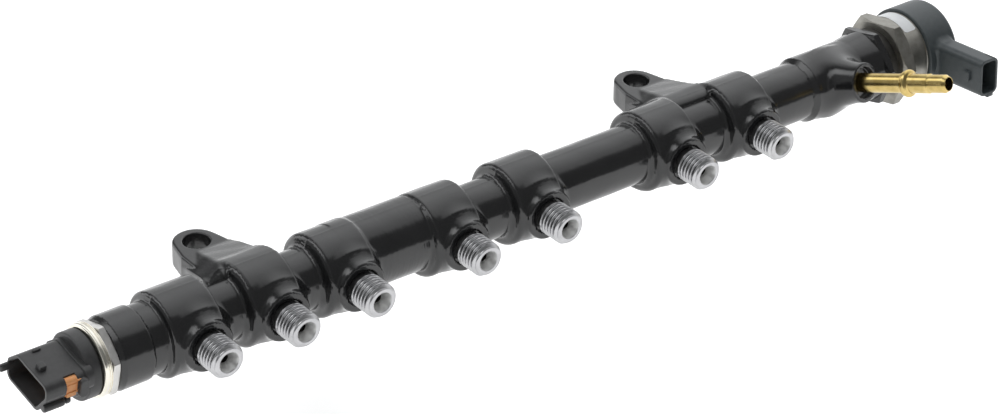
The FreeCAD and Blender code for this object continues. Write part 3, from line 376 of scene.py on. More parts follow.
# %% Paint on the roots of the threads
OVERSPRAY_OUT = 17.5
OVERSPRAY_FADE = 1.1
RAGGED = 2.4
RAGGED_GRAIN = 1.3
THREAD_PAINT = (0.012, 0.012, 0.013, 1)


def masked_threads():
    """Mixes the paint's colour into the thread's by the distance out from the rail."""
    nodes, links = thread_steel.node_tree.nodes, thread_steel.node_tree.links
    shader = nodes["Principled BSDF"]
    where = nodes.new("ShaderNodeTexCoord")
    parts = nodes.new("ShaderNodeSeparateXYZ")
    links.new(where.outputs["Object"], parts.inputs[0])
    ragged = nodes.new("ShaderNodeMath")
    ragged.operation = "MULTIPLY_ADD"
    ragged.inputs[1].default_value = RAGGED * MM
    links.new(noise(nodes, links, where, RAGGED_GRAIN, 4), ragged.inputs[0])
    links.new(parts.outputs["Y"], ragged.inputs[2])
    mask = nodes.new("ShaderNodeMapRange")
    edge = (AXIS_Y - OVERSPRAY_OUT + RAGGED / 2) * MM
    mask.inputs["From Min"].default_value = edge - OVERSPRAY_FADE / 2 * MM
    mask.inputs["From Max"].default_value = edge + OVERSPRAY_FADE / 2 * MM
    links.new(ragged.outputs[0], mask.inputs["Value"])
    mix = nodes.new("ShaderNodeMix")
    mix.data_type = "RGBA"
    steel = shader.inputs["Base Color"].links[0].from_socket
    links.new(mask.outputs["Result"], mix.inputs["Factor"])
    links.new(steel, mix.inputs["A"])
    mix.inputs["B"].default_value = THREAD_PAINT
    links.new(mix.outputs["Result"], shader.inputs["Base Color"])


masked_threads()
print("paint on the threads ends about", OVERSPRAY_OUT, "mm out from the rail's axis")


# %% [markdown]
# Two dies pressed the forging, and they leave their marks under the paint: a thin line along
# the top and the underside, where they met, and short strokes across the runs, strongest on
# the thick run before the fourth port. They are too fine for the mesh, so both are relief in
# the paint. The line is where the Y coordinate, wobbling a little, is next to one value. The
# strokes are a noise that is stretched across the rail.

# %% Marks of the dies in the paint
PARTING_OFF_AXIS = 0.6
PARTING_HALF_WIDTH = 0.2
PARTING_DEPTH = 0.3
WOBBLE = 1.2
WOBBLE_GRAIN = 1.6
STROKE_WIDTH = 0.9
STROKE_STRETCH = 0.16
STROKE_DEPTH = 0.09
FAINT_SHARE = 0.2
HAMMERED_AT = ports[3] - 24
HAMMERED_HALF_RUN = 10


def die_marks():
    """Adds the parting line and the strokes to the paint's normal."""
    nodes, links = black_paint.node_tree.nodes, black_paint.node_tree.links
    shader = nodes["Principled BSDF"]
    under = shader.inputs["Normal"].links[0].from_socket
    where = nodes.new("ShaderNodeTexCoord")
    parts = nodes.new("ShaderNodeSeparateXYZ")
    links.new(where.outputs["Object"], parts.inputs[0])
    wobble = nodes.new("ShaderNodeMath")
    wobble.operation = "MULTIPLY_ADD"
    wobble.inputs[1].default_value = WOBBLE * MM
    links.new(noise(nodes, links, where, WOBBLE_GRAIN, 3), wobble.inputs[0])
    links.new(parts.outputs["Y"], wobble.inputs[2])
    line = nodes.new("ShaderNodeMath")
    line.operation = "COMPARE"
    line.inputs[1].default_value = (AXIS_Y + PARTING_OFF_AXIS) * MM
    line.inputs[2].default_value = PARTING_HALF_WIDTH * MM
    links.new(wobble.outputs[0], line.inputs[0])
    stretched = nodes.new("ShaderNodeMapping")
    stretched.inputs["Scale"].default_value = (1.0, STROKE_STRETCH, STROKE_STRETCH)
    links.new(where.outputs["Object"], stretched.inputs["Vector"])
    strokes = nodes.new("ShaderNodeTexNoise")
    strokes.inputs["Scale"].default_value = 1 / (STROKE_WIDTH * MM)
    strokes.inputs["Detail"].default_value = 2
    links.new(stretched.outputs[0], strokes.inputs["Vector"])
    hammered = nodes.new("ShaderNodeMath")
    hammered.operation = "COMPARE"
    hammered.inputs[1].default_value = HAMMERED_AT * MM
    hammered.inputs[2].default_value = HAMMERED_HALF_RUN * MM
    links.new(parts.outputs["X"], hammered.inputs[0])
    share = nodes.new("ShaderNodeMapRange")
    share.inputs["To Min"].default_value = FAINT_SHARE
    links.new(hammered.outputs[0], share.inputs["Value"])
    height = nodes.new("ShaderNodeMath")
    height.operation = "MULTIPLY"
    links.new(strokes.outputs["Fac"], height.inputs[0])
    links.new(share.outputs["Result"], height.inputs[1])
    marked = relief(nodes, links, height.outputs[0], 1.0, STROKE_DEPTH, under)
    split = relief(nodes, links, line.outputs[0], 1.0, -PARTING_DEPTH, marked)
    links.new(split, shader.inputs["Normal"])


die_marks()
print("strongest strokes about", round(HAMMERED_AT, 1), "mm along the rail")


# %% [markdown]
# ## Mesh helpers
#
# Nearly every piece is one of two things: turned, or moulded along an outline. Each kind gets
# a helper that gives points and faces in millimetres, and one more helper puts those into the
# scene. It joins points that fall together, turns the faces outwards, moves the mesh to its
# place, hangs the piece on the body it rides on, gives it its finish and hides the nodes of the
# construction model that it stands for. Its normals are weighted by the faces' areas, so a wide
# face beside a small round stays flat.

# %% Put a piece into the scene
WELD = 0.002


def add_piece(name, vertices, faces, coat, slot, stands_for=(), body="rail", smooth_angle=30):
    """Makes an object from points in millimetres about the rail's axis."""
    mesh = bpy.data.meshes.new(name)
    mesh.from_pydata([tuple(vertex) for vertex in vertices], [], [tuple(face) for face in faces])
    tidy = bmesh.new()
    tidy.from_mesh(mesh)
    bmesh.ops.remove_doubles(tidy, verts=tidy.verts, dist=WELD)
    bmesh.ops.dissolve_degenerate(tidy, edges=tidy.edges, dist=WELD)
    bmesh.ops.recalc_face_normals(tidy, faces=tidy.faces)
    tidy.to_mesh(mesh)
    tidy.free()
    mesh.transform(to_place)
    mesh.materials.append(coat)
    mesh.shade_smooth()
    mesh.set_sharp_from_angle(angle=math.radians(smooth_angle))
    piece = bpy.data.objects.new(name, mesh)
    bpy.context.collection.objects.link(piece)
    even = piece.modifiers.new("even_normals", "WEIGHTED_NORMAL")
    even.keep_sharp = True
    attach(piece, body)
    if stands_for:
        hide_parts(*stands_for)
    return piece


print("points within", WELD, "mm of each other are joined")


# %% [markdown]
# A turned piece is a closed profile of places along the axis and radii, spun round. Blender's
# screw modifier could do that, but with the points in hand the same lathe also makes
# hexagons, and stands at any angle. Corners get a small round, because an edge without one
# never catches the light.

# %% Turned shapes
def arc(centre, radius, start_degrees, end_degrees, steps=6):
    """Points along an arc in a profile."""
    points = []
    for step in range(steps + 1):
        angle = math.radians(start_degrees + (end_degrees - start_degrees) * step / steps)
        points.append((centre[0] + radius * math.cos(angle), centre[1] + radius * math.sin(angle)))
    return points


def full_circle(segments):
    """Angles evenly round a circle."""
    return [2 * math.pi * step / segments for step in range(segments)]


def lathe(profile, angles=96, widest=None):
    """Points and faces of a closed profile of (x, radius), turned about the X axis."""
    if isinstance(angles, int):
        angles = full_circle(angles)
    around = len(angles)
    vertices, faces = [], []
    for x, radius in profile:
        for angle in angles:
            reach = min(radius, widest(angle)) if widest else radius
            vertices.append((x, reach * math.cos(angle), reach * math.sin(angle)))
    for row in range(len(profile)):
        after = (row + 1) % len(profile)
        for step in range(around):
            beside = (step + 1) % around
            faces.append((row * around + step, after * around + step,
                          after * around + beside, row * around + beside))
    return vertices, faces


def turned_about(profile, origin, direction, angles=96):
    """A lathe about any axis: profile of (distance along it, radius)."""
    vertices, faces = lathe(profile, angles)
    turn = Vector((1, 0, 0)).rotation_difference(Vector(direction)).to_matrix()
    return [turn @ Vector(vertex) + Vector(origin) for vertex in vertices], faces


def eased(profile, default=0.15, steps=3):
    """Rounds each corner of a profile. A corner may give its own radius as a third value."""
    points = []
    for index, corner in enumerate(profile):
        here = Vector(corner[:2])
        radius = corner[2] if len(corner) > 2 else default
        before = Vector(profile[index - 1][:2]) - here
        after = Vector(profile[(index + 1) % len(profile)][:2]) - here
        turn = math.pi - before.angle(after, math.pi)
        if radius <= 0 or turn < 0.05 or here.y < 0.01:
            points.append(tuple(here))
            continue
        cut = min(radius * math.tan(turn / 2), before.length * 0.45, after.length * 0.45)
        start, end = here + before.normalized() * cut, here + after.normalized() * cut
        for step in range(steps + 1):
            t = step / steps
            points.append(tuple((1 - t) ** 2 * start + 2 * t * (1 - t) * here + t * t * end))
    return points


def steps_between(start, end, count):
    """Points on a straight line, both ends included."""
    return [(start[0] + (end[0] - start[0]) * k / count, start[1] + (end[1] - start[1]) * k / count)
            for k in range(count + 1)]


print("a corner of 90 degrees gets", len(eased([(0, 1), (0, 2), (1, 2), (1, 1)])) // 4, "points")


# %% [markdown]
# A hexagon is a lathe that is told how wide each direction may be: the profile's radius or the
# distance to the flat, whichever is less. A cone in the profile then cuts the six corners to
# the curved edges that every nut has. The directions are close together on the flats and
# at the corners' rounds, and the same for every ring, so the net stays regular.

# %% Hexagons
def hexagon(flats, corner_degrees, corner_round, flat_steps=24, corner_steps=4):
    """Angles to turn a hexagon with, and how far its side is at each of them."""
    half = flats / 2
    corner = math.radians(corner_degrees)
    centre = (half - corner_round) / math.cos(math.pi / 6)
    tangent = math.atan((half - corner_round) * math.tan(math.pi / 6) / half)

    def widest(angle):
        from_flat = abs((angle - corner) % (math.pi / 3) - math.pi / 6)
        if from_flat <= tangent:
            return half / math.cos(from_flat)
        off = math.pi / 6 - from_flat
        return centre * math.cos(off) + math.sqrt(max(corner_round ** 2 - (centre * math.sin(off)) ** 2, 0))

    angles = []
    for side in range(6):
        middle = corner + math.pi / 6 + side * math.pi / 3
        angles += [middle - tangent + 2 * tangent * step / flat_steps for step in range(flat_steps + 1)]
        rest = math.pi / 3 - 2 * tangent
        angles += [middle + tangent + rest * step / corner_steps for step in range(1, corner_steps)]
    return angles, widest


print("directions round a hexagon:", len(hexagon(30.0, 0, 0.5)[0]))


# %% [markdown]
# A moulded shape is one outline with rounded corners, lofted through stations. Each station
# has a height and an inset, so a wall that turns in at its rim is only a few more stations.
# A function given with them puts the flat points on the plug, on its side or on the connector.

# %% Moulded shapes
def inset_corners(corners, inset):
    """Moves each side of a convex, counterclockwise outline inwards."""
    moved = []
    for index, corner in enumerate(corners):
        here = Vector(corner)
        one = (here - Vector(corners[index - 1])).normalized()
        two = (Vector(corners[(index + 1) % len(corners)]) - here).normalized()
        side = Vector((-one.y - two.y, one.x + two.x))
        moved.append(here + side * inset / (1 + one.dot(two)))
    return moved


def rounded_outline(corners, radius, steps=5):
    """The outline with an arc at each corner."""
    centres = inset_corners(corners, radius)
    points = []
    for index, corner in enumerate(corners):
        here = Vector(corner)
        one = (here - Vector(corners[index - 1])).normalized()
        two = (Vector(corners[(index + 1) % len(corners)]) - here).normalized()
        start = math.atan2(-one.x, one.y)
        turn = math.acos(max(-1, min(1, one.dot(two))))
        points += arc(centres[index], radius, math.degrees(start), math.degrees(start + turn), steps)
    return points


def loft(loops):
    """Skins closed loops with as many points each, and caps both ends."""
    around = len(loops[0])
    vertices = [point for loop in loops for point in loop]
    faces = [tuple(reversed(range(around)))]
    for row in range(len(loops) - 1):
        for step in range(around):
            beside = (step + 1) % around
            faces.append((row * around + step, row * around + beside,
                          (row + 1) * around + beside, (row + 1) * around + step))
    faces.append(tuple(range((len(loops) - 1) * around, len(loops) * around)))
    return vertices, faces


def moulded(corners, radius, stations, place, steps=5):
    """Lofts an outline through stations of (height, inset). place makes points of (u, v, height)."""
    loops = []
    for height, inset in stations:
        outline = rounded_outline(inset_corners(corners, inset), max(radius - inset, 0.05), steps)
        loops.append([place(u, v, height) for u, v in outline])
    return loft(loops)


def rectangle(left, right, low, high):
    """Four corners, counterclockwise."""
    return [(left, low), (right, low), (right, high), (left, high)]


print("points of a rounded outline:", len(rounded_outline(rectangle(0, 4, 0, 2), 0.5)))


# %% [markdown]
# A moulding's ribs, nubs and windows are joined and cut with exact booleans, because they are
# one piece of plastic on the real part and their lines of meeting show.

# %% Join shapes and cut them
def loose_object(vertices, faces):
    """A closed mesh to work with, which isn't a piece of the part."""
    mesh = bpy.data.meshes.new("work")
    mesh.from_pydata([tuple(vertex) for vertex in vertices], [], faces)
    tidy = bmesh.new()
    tidy.from_mesh(mesh)
    bmesh.ops.remove_doubles(tidy, verts=tidy.verts, dist=0.0005)
    bmesh.ops.recalc_face_normals(tidy, faces=tidy.faces)
    tidy.to_mesh(mesh)
    tidy.free()
    thing = bpy.data.objects.new("work", mesh)
    bpy.context.collection.objects.link(thing)
    return thing


def combined(base, joined=(), cuts=()):
    """Exact booleans on shapes of (vertices, faces), and the result as such a shape."""
    thing = loose_object(*base)
    tools = []
    for shape, operation in [(s, "UNION") for s in joined] + [(s, "DIFFERENCE") for s in cuts]:
        tools.append(loose_object(*shape))
        step = thing.modifiers.new("step", "BOOLEAN")
        step.operation = operation
        step.solver = "EXACT"
        step.object = tools[-1]
    graph = bpy.context.evaluated_depsgraph_get()
    result = bpy.data.meshes.new_from_object(thing.evaluated_get(graph))
    vertices = [tuple(vertex.co) for vertex in result.vertices]
    faces = [tuple(polygon.vertices) for polygon in result.polygons]
    bpy.data.meshes.remove(result)
    for leftover in [thing] + tools:
        mesh = leftover.data
        bpy.data.objects.remove(leftover)
        bpy.data.meshes.remove(mesh)
    return vertices, faces


cut_block = combined(loft([[(x, y, z) for x, y in rectangle(0, 2, 0, 2)] for z in (0, 2)]),
                     cuts=[loft([[(x, y, z) for x, y in rectangle(1, 3, 1, 3)] for z in (-1, 3)])])
print("a block with one edge cut away has", len(cut_block[0]), "corners")


# %% [markdown]
# ## The forging
#
# A forged and painted part has no sharp inside corners: where a stub's boss meets its block
# the steel flows from one to the other. Fillets in a construction model are hard to get over
# so many crossings. So the skin of the forging is described the other way round, by a
# function that gives the distance from any point to the surface. Two such distances are
# joined by a smooth minimum, and that makes the blend by itself, with the radius as one
# number. The mesh starts as a rough union of simple shapes, remeshed to an even net, and then
# every point is walked down the function's slope until it lies on the skin.
#
# Along the rail there are seven blocks on a plain tube, each softly shouldered on one side
# and crisper on the other, a collar for the sensor and a thicker end for the valve. A boss
# stands out from each block to the stub, with a flat ring for a face and a groove inside it.

# %% Sizes of the forging, in millimetres
TUBE_R = 10.5
BLOCK_R = 14.4
BLOCK_BEFORE = 11.3
BLOCK_AFTER = 7.1
SHOULDER_EDGE_SHARE = 0.53
SHOULDER_ROOT_SHARE = 0.42
BLOCK_EDGE = 1.2
BLOCK_ROOT = 1.2
COLLAR_R = 12.45
COLLAR_RUN = 12.5
COLLAR_CHAMFER_RUN = 1.9
COLLAR_CHAMFER_DROP = 0.9
COLLAR_EDGE = 0.8
NECK_R = 11.7
THICK_R = 12.7
THICK_BACK = 0.9
THICK_UP = 1.2
STEP_AFTER_PORT_7 = 29.3
STEP_RUN = 2.0
STEP_R = 11.9
END_NECK_R = 13.0
END_NECK_RUN = 12.0
END_HEX_RUN = 3.2
END_HEX_SETBACK = 0.5
BOSS_FACE = 15.9
BOSS_FACE_R = 8.35
BOSS_RIM_R = 8.8
BOSS_RIM_RUN = 0.5
BOSS_RIM_FLAT = 0.6
BOSS_GROOVE_R = 6.35
BOSS_GROOVE_TAPER = 0.2
BOSS_GROOVE = 1.1
BOSS_ROOT_R = 11.0
BOSS_ROOT = 10.0


def level_arc(start, end, steps=10):
    """Points of an arc from start to end that is level at its end."""
    run, rise = end[0] - start[0], end[1] - start[1]
    radius = (run * run + rise * rise) / (2 * abs(rise))
    sign = 1 if rise > 0 else -1
    points = []
    for step in range(steps + 1):
        x = start[0] + run * step / steps
        drop = radius - math.sqrt(max(radius * radius - (end[0] - x) ** 2, 0))
        points.append((x, end[1] - sign * drop))
    return points


def block_outline(port, before_r):
    """A port's block. Its shoulder's two arcs are shares of its height, so they always fit."""
    wall = port - BLOCK_BEFORE
    end = port + BLOCK_AFTER
    edge = (BLOCK_R - before_r) * SHOULDER_EDGE_SHARE
    root = (BLOCK_R - before_r) * SHOULDER_ROOT_SHARE
    points = [(wall - root, 0)]
    points += arc((wall - root, before_r + root), root, -90, 0, 5)
    points += arc((wall + edge, BLOCK_R - edge), edge, 180, 90, 5)
    points += arc((end - BLOCK_EDGE, BLOCK_R - BLOCK_EDGE), BLOCK_EDGE, 90, 0, 4)
    points += arc((end + BLOCK_ROOT, TUBE_R + BLOCK_ROOT), BLOCK_ROOT, 180, 270, 4)
    return points + [(end + BLOCK_ROOT, 0)]


def collar_outline():
    """The collar that the sensor screws into, and the neck after it."""
    end = SENSOR_END + COLLAR_RUN
    points = [(SENSOR_END, 0), (SENSOR_END, COLLAR_R - COLLAR_CHAMFER_DROP)]
    points.append((SENSOR_END + COLLAR_CHAMFER_RUN, COLLAR_R))
    points += arc((end - COLLAR_EDGE, COLLAR_R - COLLAR_EDGE), COLLAR_EDGE, 90, 0, 3)
    neck_end = ports[0] - BLOCK_BEFORE
    return points + [(end, NECK_R), (neck_end, NECK_R), (neck_end, 0)]


def step_outline():
    """The thicker end of the rail, which flares towards the valve."""
    step = ports[6] + STEP_AFTER_PORT_7
    points = [(step, 0), (step, TUBE_R), (step + STEP_RUN, STEP_R)]
    points += [(VALVE_END - END_NECK_RUN, STEP_R), (VALVE_END - END_HEX_RUN, END_NECK_R)]
    return points + [(VALVE_END, END_NECK_R - END_HEX_SETBACK), (VALVE_END, 0)]


def boss_outline():
    """A stub's boss as (distance from the rail's axis, radius)."""
    rim = BOSS_FACE - BOSS_RIM_RUN
    flare = level_arc((BOSS_ROOT, BOSS_ROOT_R), (rim - BOSS_RIM_FLAT, BOSS_RIM_R), 6)
    face = [(rim, BOSS_RIM_R), (BOSS_FACE, BOSS_FACE_R), (BOSS_FACE, BOSS_GROOVE_R)]
    floor_at = BOSS_FACE - BOSS_GROOVE
    groove = [(floor_at, BOSS_GROOVE_R - BOSS_GROOVE_TAPER), (floor_at, 0)]
    return [(0, 0), (0, BOSS_ROOT_R)] + flare + face + groove


turned_parts = [collar_outline(), step_outline()]
turned_parts += [block_outline(port, NECK_R if port == ports[0] else TUBE_R) for port in ports]
TUBE_OUTLINE = [(SENSOR_END, 0), (SENSOR_END, TUBE_R), (VALVE_END, TUBE_R), (VALVE_END, 0)]
print("turned parts of the rail:", len(turned_parts))


# %% Distances to simple shapes
NEAR = 6.0


def outline_distance(u, v, corners):
    """Signed distance from (u, v) to a closed outline, below zero inside."""
    best = np.full(u.shape, np.inf)
    inside = np.zeros(u.shape, bool)
    for index, (au, av) in enumerate(corners):
        bu, bv = corners[(index + 1) % len(corners)]
        du, dv = bu - au, bv - av
        along = np.clip(((u - au) * du + (v - av) * dv) / (du * du + dv * dv), 0, 1)
        best = np.minimum(best, (u - au - along * du) ** 2 + (v - av - along * dv) ** 2)
        if dv:
            crosses = (av > v) != (bv > v)
            inside ^= crosses & (u < au + (v - av) * du / dv)
    return np.where(inside, -1, 1) * np.sqrt(best)


def blend(one, other, size):
    """The smooth minimum of two distances: a union with a fillet."""
    near = np.maximum(size - np.abs(one - other), 0) / size
    return np.minimum(one, other) - near * near * size / 4


def trim(one, other, size):
    """The smooth maximum of two distances: what lies in both, with a rounded edge."""
    return -blend(-one, -other, size)


def rail_distance(x, off):
    """Distance to all that is turned about the rail's axis, from (x, distance off the axis)."""
    skin = outline_distance(x, off, TUBE_OUTLINE)
    for outline in turned_parts:
        low, high = outline[0][0], outline[-1][0]
        near = (x > low - NEAR) & (x < high + NEAR)
        skin[near] = np.minimum(skin[near], outline_distance(x[near], off[near], outline))
    return skin


print("a turned part counts from", NEAR, "mm before it to as far after it")

# %% [markdown]
# The lugs are flat ears whose raised pads lean on the rail. An ear is a flat outline with
# thickness. A pad is what lies under several planes at once, so it is the smooth maximum of
# the distances to those planes. Each plane is given by three of the pad's corners, and a point
# that is surely inside tells which side of it is steel.

# %% Lug sizes and distances
LUG_REACH = -AXIS_Y
SEAT = -AXIS_Z
EAR_THICK = 8.8
EAR_TOP = SEAT + EAR_THICK
EAR_R = 7.9
EAR_ROOT = 6.0
EAR_EDGE = 0.6
LUG_FLARE = math.radians(13)
FOLD = 22.3
CREASE = 6.0
PAD_TOP = 13.3
PAD_LEFT = 12.4
PAD_RIGHT = 11.3
PAD_LEFT_TOP = 6.0
PAD_LEFT_TOP_OUTER = 3.6
PAD_SLOPE_DROP = 3.9
PAD_FOOT_DROP = 1.3
PAD_ROUND = 0.4
HOLE_R = mounts["lug_holes"]["dims"]["hole_r_mm"]
EAR_FLANK = EAR_R * math.cos(LUG_FLARE)
EAR_FLANK += (LUG_REACH - FOLD + EAR_R * math.sin(LUG_FLARE)) * math.tan(LUG_FLARE)


def ear_outline():
    """The ear seen from above: a round end about its hole and two widening flanks."""
    start = math.degrees(LUG_FLARE)
    end = arc((0, LUG_REACH), EAR_R, start, 180 - start, 14)
    root = [(-EAR_FLANK, FOLD), (-EAR_FLANK, EAR_ROOT), (EAR_FLANK, EAR_ROOT), (EAR_FLANK, FOLD)]
    return root + end


def under_plane(x, y, z, one, two, three):
    """Distance above the plane through three points, below zero on its inner side."""
    normal = np.cross(np.subtract(two, one), np.subtract(three, one))
    normal = normal / np.linalg.norm(normal)
    return (x - one[0]) * normal[0] + (y - one[1]) * normal[1] + (z - one[2]) * normal[2]


def lug_distance(x, y, z):
    """The ear with its hole, and its pad, about the lug's own station."""
    ear = outline_distance(x, y, ear_outline())
    ear = trim(ear, np.abs(z - (SEAT + EAR_TOP) / 2) - EAR_THICK / 2, EAR_EDGE * 2)
    ear = trim(ear, HOLE_R - np.hypot(x, y - LUG_REACH), EAR_EDGE)
    shoulder = PAD_TOP - PAD_SLOPE_DROP
    crease = (-PAD_LEFT_TOP, CREASE, PAD_TOP)
    far_crease = (-PAD_LEFT_TOP_OUTER, FOLD, EAR_TOP)
    foot = (-PAD_LEFT, CREASE, shoulder)
    far_foot = (-EAR_FLANK, FOLD, EAR_TOP - PAD_FOOT_DROP)
    near_right = (PAD_RIGHT, CREASE, PAD_TOP)
    far_right = (EAR_FLANK, FOLD, EAR_TOP)
    low_left, low_right = (-EAR_FLANK, FOLD, SEAT), (EAR_FLANK, FOLD, SEAT)
    sides = [
        (crease, near_right, far_crease),
        (crease, far_crease, foot),
        (foot, far_foot, low_left),
        (far_right, near_right, low_right),
    ]
    inside = (0, CREASE, SEAT + 2)
    pad = z - PAD_TOP
    for corners in sides:
        plane = under_plane(x, y, z, *corners)
        pad = trim(pad, plane if under_plane(*inside, *corners) < 0 else -plane, PAD_ROUND)
    pad = trim(pad, SEAT - z, EAR_EDGE)
    pad = np.maximum(pad, np.maximum(y - FOLD, -y))
    return blend(ear, pad, PAD_ROUND)


print("ear flank", round(EAR_FLANK, 2), "mm from the lug's middle")


# %% [markdown]
# The return nipple leaves the rail at an angle, towards the valve and upwards. Its boss is
# drawn along its own axis, which the nipple's mount states, so one small helper gives how far
# a point lies along that axis and how far from it.

# %% The nipple's axis
NIPPLE_AFTER_PORT_7 = 41.8
nipple_axis = Vector(mounts["return_nipple"]["axis"]).normalized()
nipple_start = Vector((ports[6] + NIPPLE_AFTER_PORT_7, 0, 0))
NIPPLE_BOSS = 20.5
NIPPLE_BOSS_R = 7.25
NIPPLE_BOSS_EDGE = 0.5
NIPPLE_BOSS_FLAT = 0.3
NIPPLE_ROOT = 4.0
NIPPLE_ROOT_R = 12.1
NIPPLE_RECESS_R = 5.5
NIPPLE_RECESS_EDGE = 0.2
NIPPLE_RECESS = 2.2


def nipple_boss_outline():
    """The nipple's boss as (distance along its axis, radius), with the recess in its face."""
    edge_at = NIPPLE_BOSS - NIPPLE_BOSS_EDGE
    swell = level_arc((NIPPLE_ROOT, NIPPLE_ROOT_R), (edge_at - NIPPLE_BOSS_FLAT, NIPPLE_BOSS_R), 10)
    edge = arc((edge_at, NIPPLE_BOSS_R - NIPPLE_BOSS_EDGE), NIPPLE_BOSS_EDGE, 90, 0, 3)
    floor_at = NIPPLE_BOSS - NIPPLE_RECESS
    recess = [(NIPPLE_BOSS, NIPPLE_RECESS_R + NIPPLE_RECESS_EDGE)]
    recess += [(NIPPLE_BOSS - NIPPLE_RECESS_EDGE, NIPPLE_RECESS_R)]
    recess += [(floor_at, NIPPLE_RECESS_R), (floor_at, 0)]
    return [(0, 0), (0, NIPPLE_ROOT_R)] + swell + edge + recess


def along_nipple(x, y, z):
    """Distance along the nipple's axis, and distance from it."""
    a, b, c = nipple_axis
    dx = x - nipple_start.x
    along = dx * a + y * b + z * c
    off = np.sqrt(np.maximum(dx * dx + y * y + z * z - along * along, 0))
    return along, off


print("nipple axis", [round(value, 3) for value in nipple_axis])


# %% [markdown]
# Now all of it is one function. The turned parts come first, and the thick run, the lugs, the
# stubs' bosses and the nipple's boss are blended on, each only near its own place, which saves
# most of the time. Last, the skin is lifted a little along the top and the underside, where
# the dies met, and it waves by a few hundredths of a millimetre, as forged steel does.

# %% The whole skin as one distance
BOSS_BLEND = 2.1
LUG_BLEND = 1.1
NIPPLE_BLEND = 3.0
THICK_BLEND = 1.2
WAVE = 0.045
RIDGE = 0.09
RIDGE_WIDTH = 0.5
RIDGE_END = 130
THICK_START = ports[2]
THICK_END = ports[3] - BLOCK_BEFORE
LUG_ROOM = 22
BOSS_ROOM = 16
NIPPLE_ROOM = 20


def skin_distance(points):
    """Distance from points of shape (n, 3) to the forging's skin, in millimetres."""
    x, y, z = points.T
    skin = rail_distance(x, np.hypot(y, z))
    near = (x > THICK_START - NEAR) & (x < THICK_END + NEAR)
    thick = np.hypot(y[near] - THICK_BACK, z[near] - THICK_UP) - THICK_R
    half = (THICK_END - THICK_START) / 2
    thick = np.maximum(thick, np.abs(x[near] - (THICK_START + THICK_END) / 2) - half)
    skin[near] = blend(skin[near], thick, THICK_BLEND)
    for lug in lugs:
        near = (np.abs(x - lug) < LUG_ROOM) & (y > -3)
        skin[near] = blend(skin[near], lug_distance(x[near] - lug, y[near], z[near]), LUG_BLEND)
    for port in ports:
        near = (np.abs(x - port) < BOSS_ROOM) & (y < 0)
        off = np.hypot(x[near] - port, z[near])
        skin[near] = blend(skin[near], outline_distance(-y[near], off, boss_outline()), BOSS_BLEND)
    near = (x > ports[6] + NIPPLE_ROOM) & (y < 3)
    boss = outline_distance(*along_nipple(x[near], y[near], z[near]), nipple_boss_outline())
    skin[near] = blend(skin[near], boss, NIPPLE_BLEND)
    seam = RIDGE * np.exp(-(y / RIDGE_WIDTH) ** 2) * (np.abs(x) < RIDGE_END)
    wave = np.sin(x * 0.31 + y * 0.2) * np.sin(y * 0.43 - z * 0.37 + x * 0.07)
    return skin + WAVE * wave - seam


def slope_at(points, distance, reach=0.04):
    """The distance's slope at each point, from a small step along each axis."""
    slope = np.zeros_like(points)
    for axis in range(3):
        shift = np.zeros(3)
        shift[axis] = reach
        slope[:, axis] = (skin_distance(points + shift) - distance) / reach
    return slope


def walk_to_skin(points, steps, longest=0.7):
    """Moves points down the slope of the distance until they lie on the skin."""
    points = points.copy()
    for _ in range(steps):
        distance = skin_distance(points)
        slope = slope_at(points, distance)
        size = np.maximum((slope ** 2).sum(axis=1), 0.2)
        move = -(distance / size)[:, None] * slope
        length = np.linalg.norm(move, axis=1)
        points += move * np.minimum(1, longest / np.maximum(length, 1e-9))[:, None]
    return points


print("the skin at the first block's top lies",
      round(float(skin_distance(np.array([[ports[0], 0.0, BLOCK_R]]))[0]), 3), "mm away")


# %% [markdown]
# The rough union: turned shapes for the rail and its bosses, flat bars and a ring for each lug.
# They only have to be near the skin, within about a millimetre, and closed.

# %% The rough union
RING_WALL = 0.8
BAR_ROOT = 3


def bar(outline, low, high):
    """A flat outline in X and Y with thickness in Z."""
    return loft([[(x, y, low) for x, y in outline], [(x, y, high) for x, y in outline]])


def ear_ring(lug):
    """The ear's end with its hole: a ring whose outside follows the ear's outline."""
    angles = full_circle(64)
    loops = []
    for hole, height in ((True, SEAT), (False, SEAT), (False, EAR_TOP), (True, EAR_TOP)):
        loop = []
        for angle in angles:
            reach = EAR_R
            if math.sin(angle) < math.sin(LUG_FLARE):
                side = angle if math.cos(angle) > 0 else math.pi - angle
                side = (side + math.pi) % (2 * math.pi) - math.pi
                reach = EAR_R / max(math.cos(LUG_FLARE - side), 0.3)
                if math.sin(angle) < 0:
                    reach = min(reach, (LUG_REACH - FOLD + RING_WALL) / -math.sin(angle))
            reach = HOLE_R if hole else max(reach, HOLE_R + RING_WALL)
            loop.append((lug + reach * math.cos(angle), LUG_REACH + reach * math.sin(angle), height))
        loops.append(loop)
    vertices, faces = loft(loops + [loops[0]])
    return vertices, faces[1:-1]


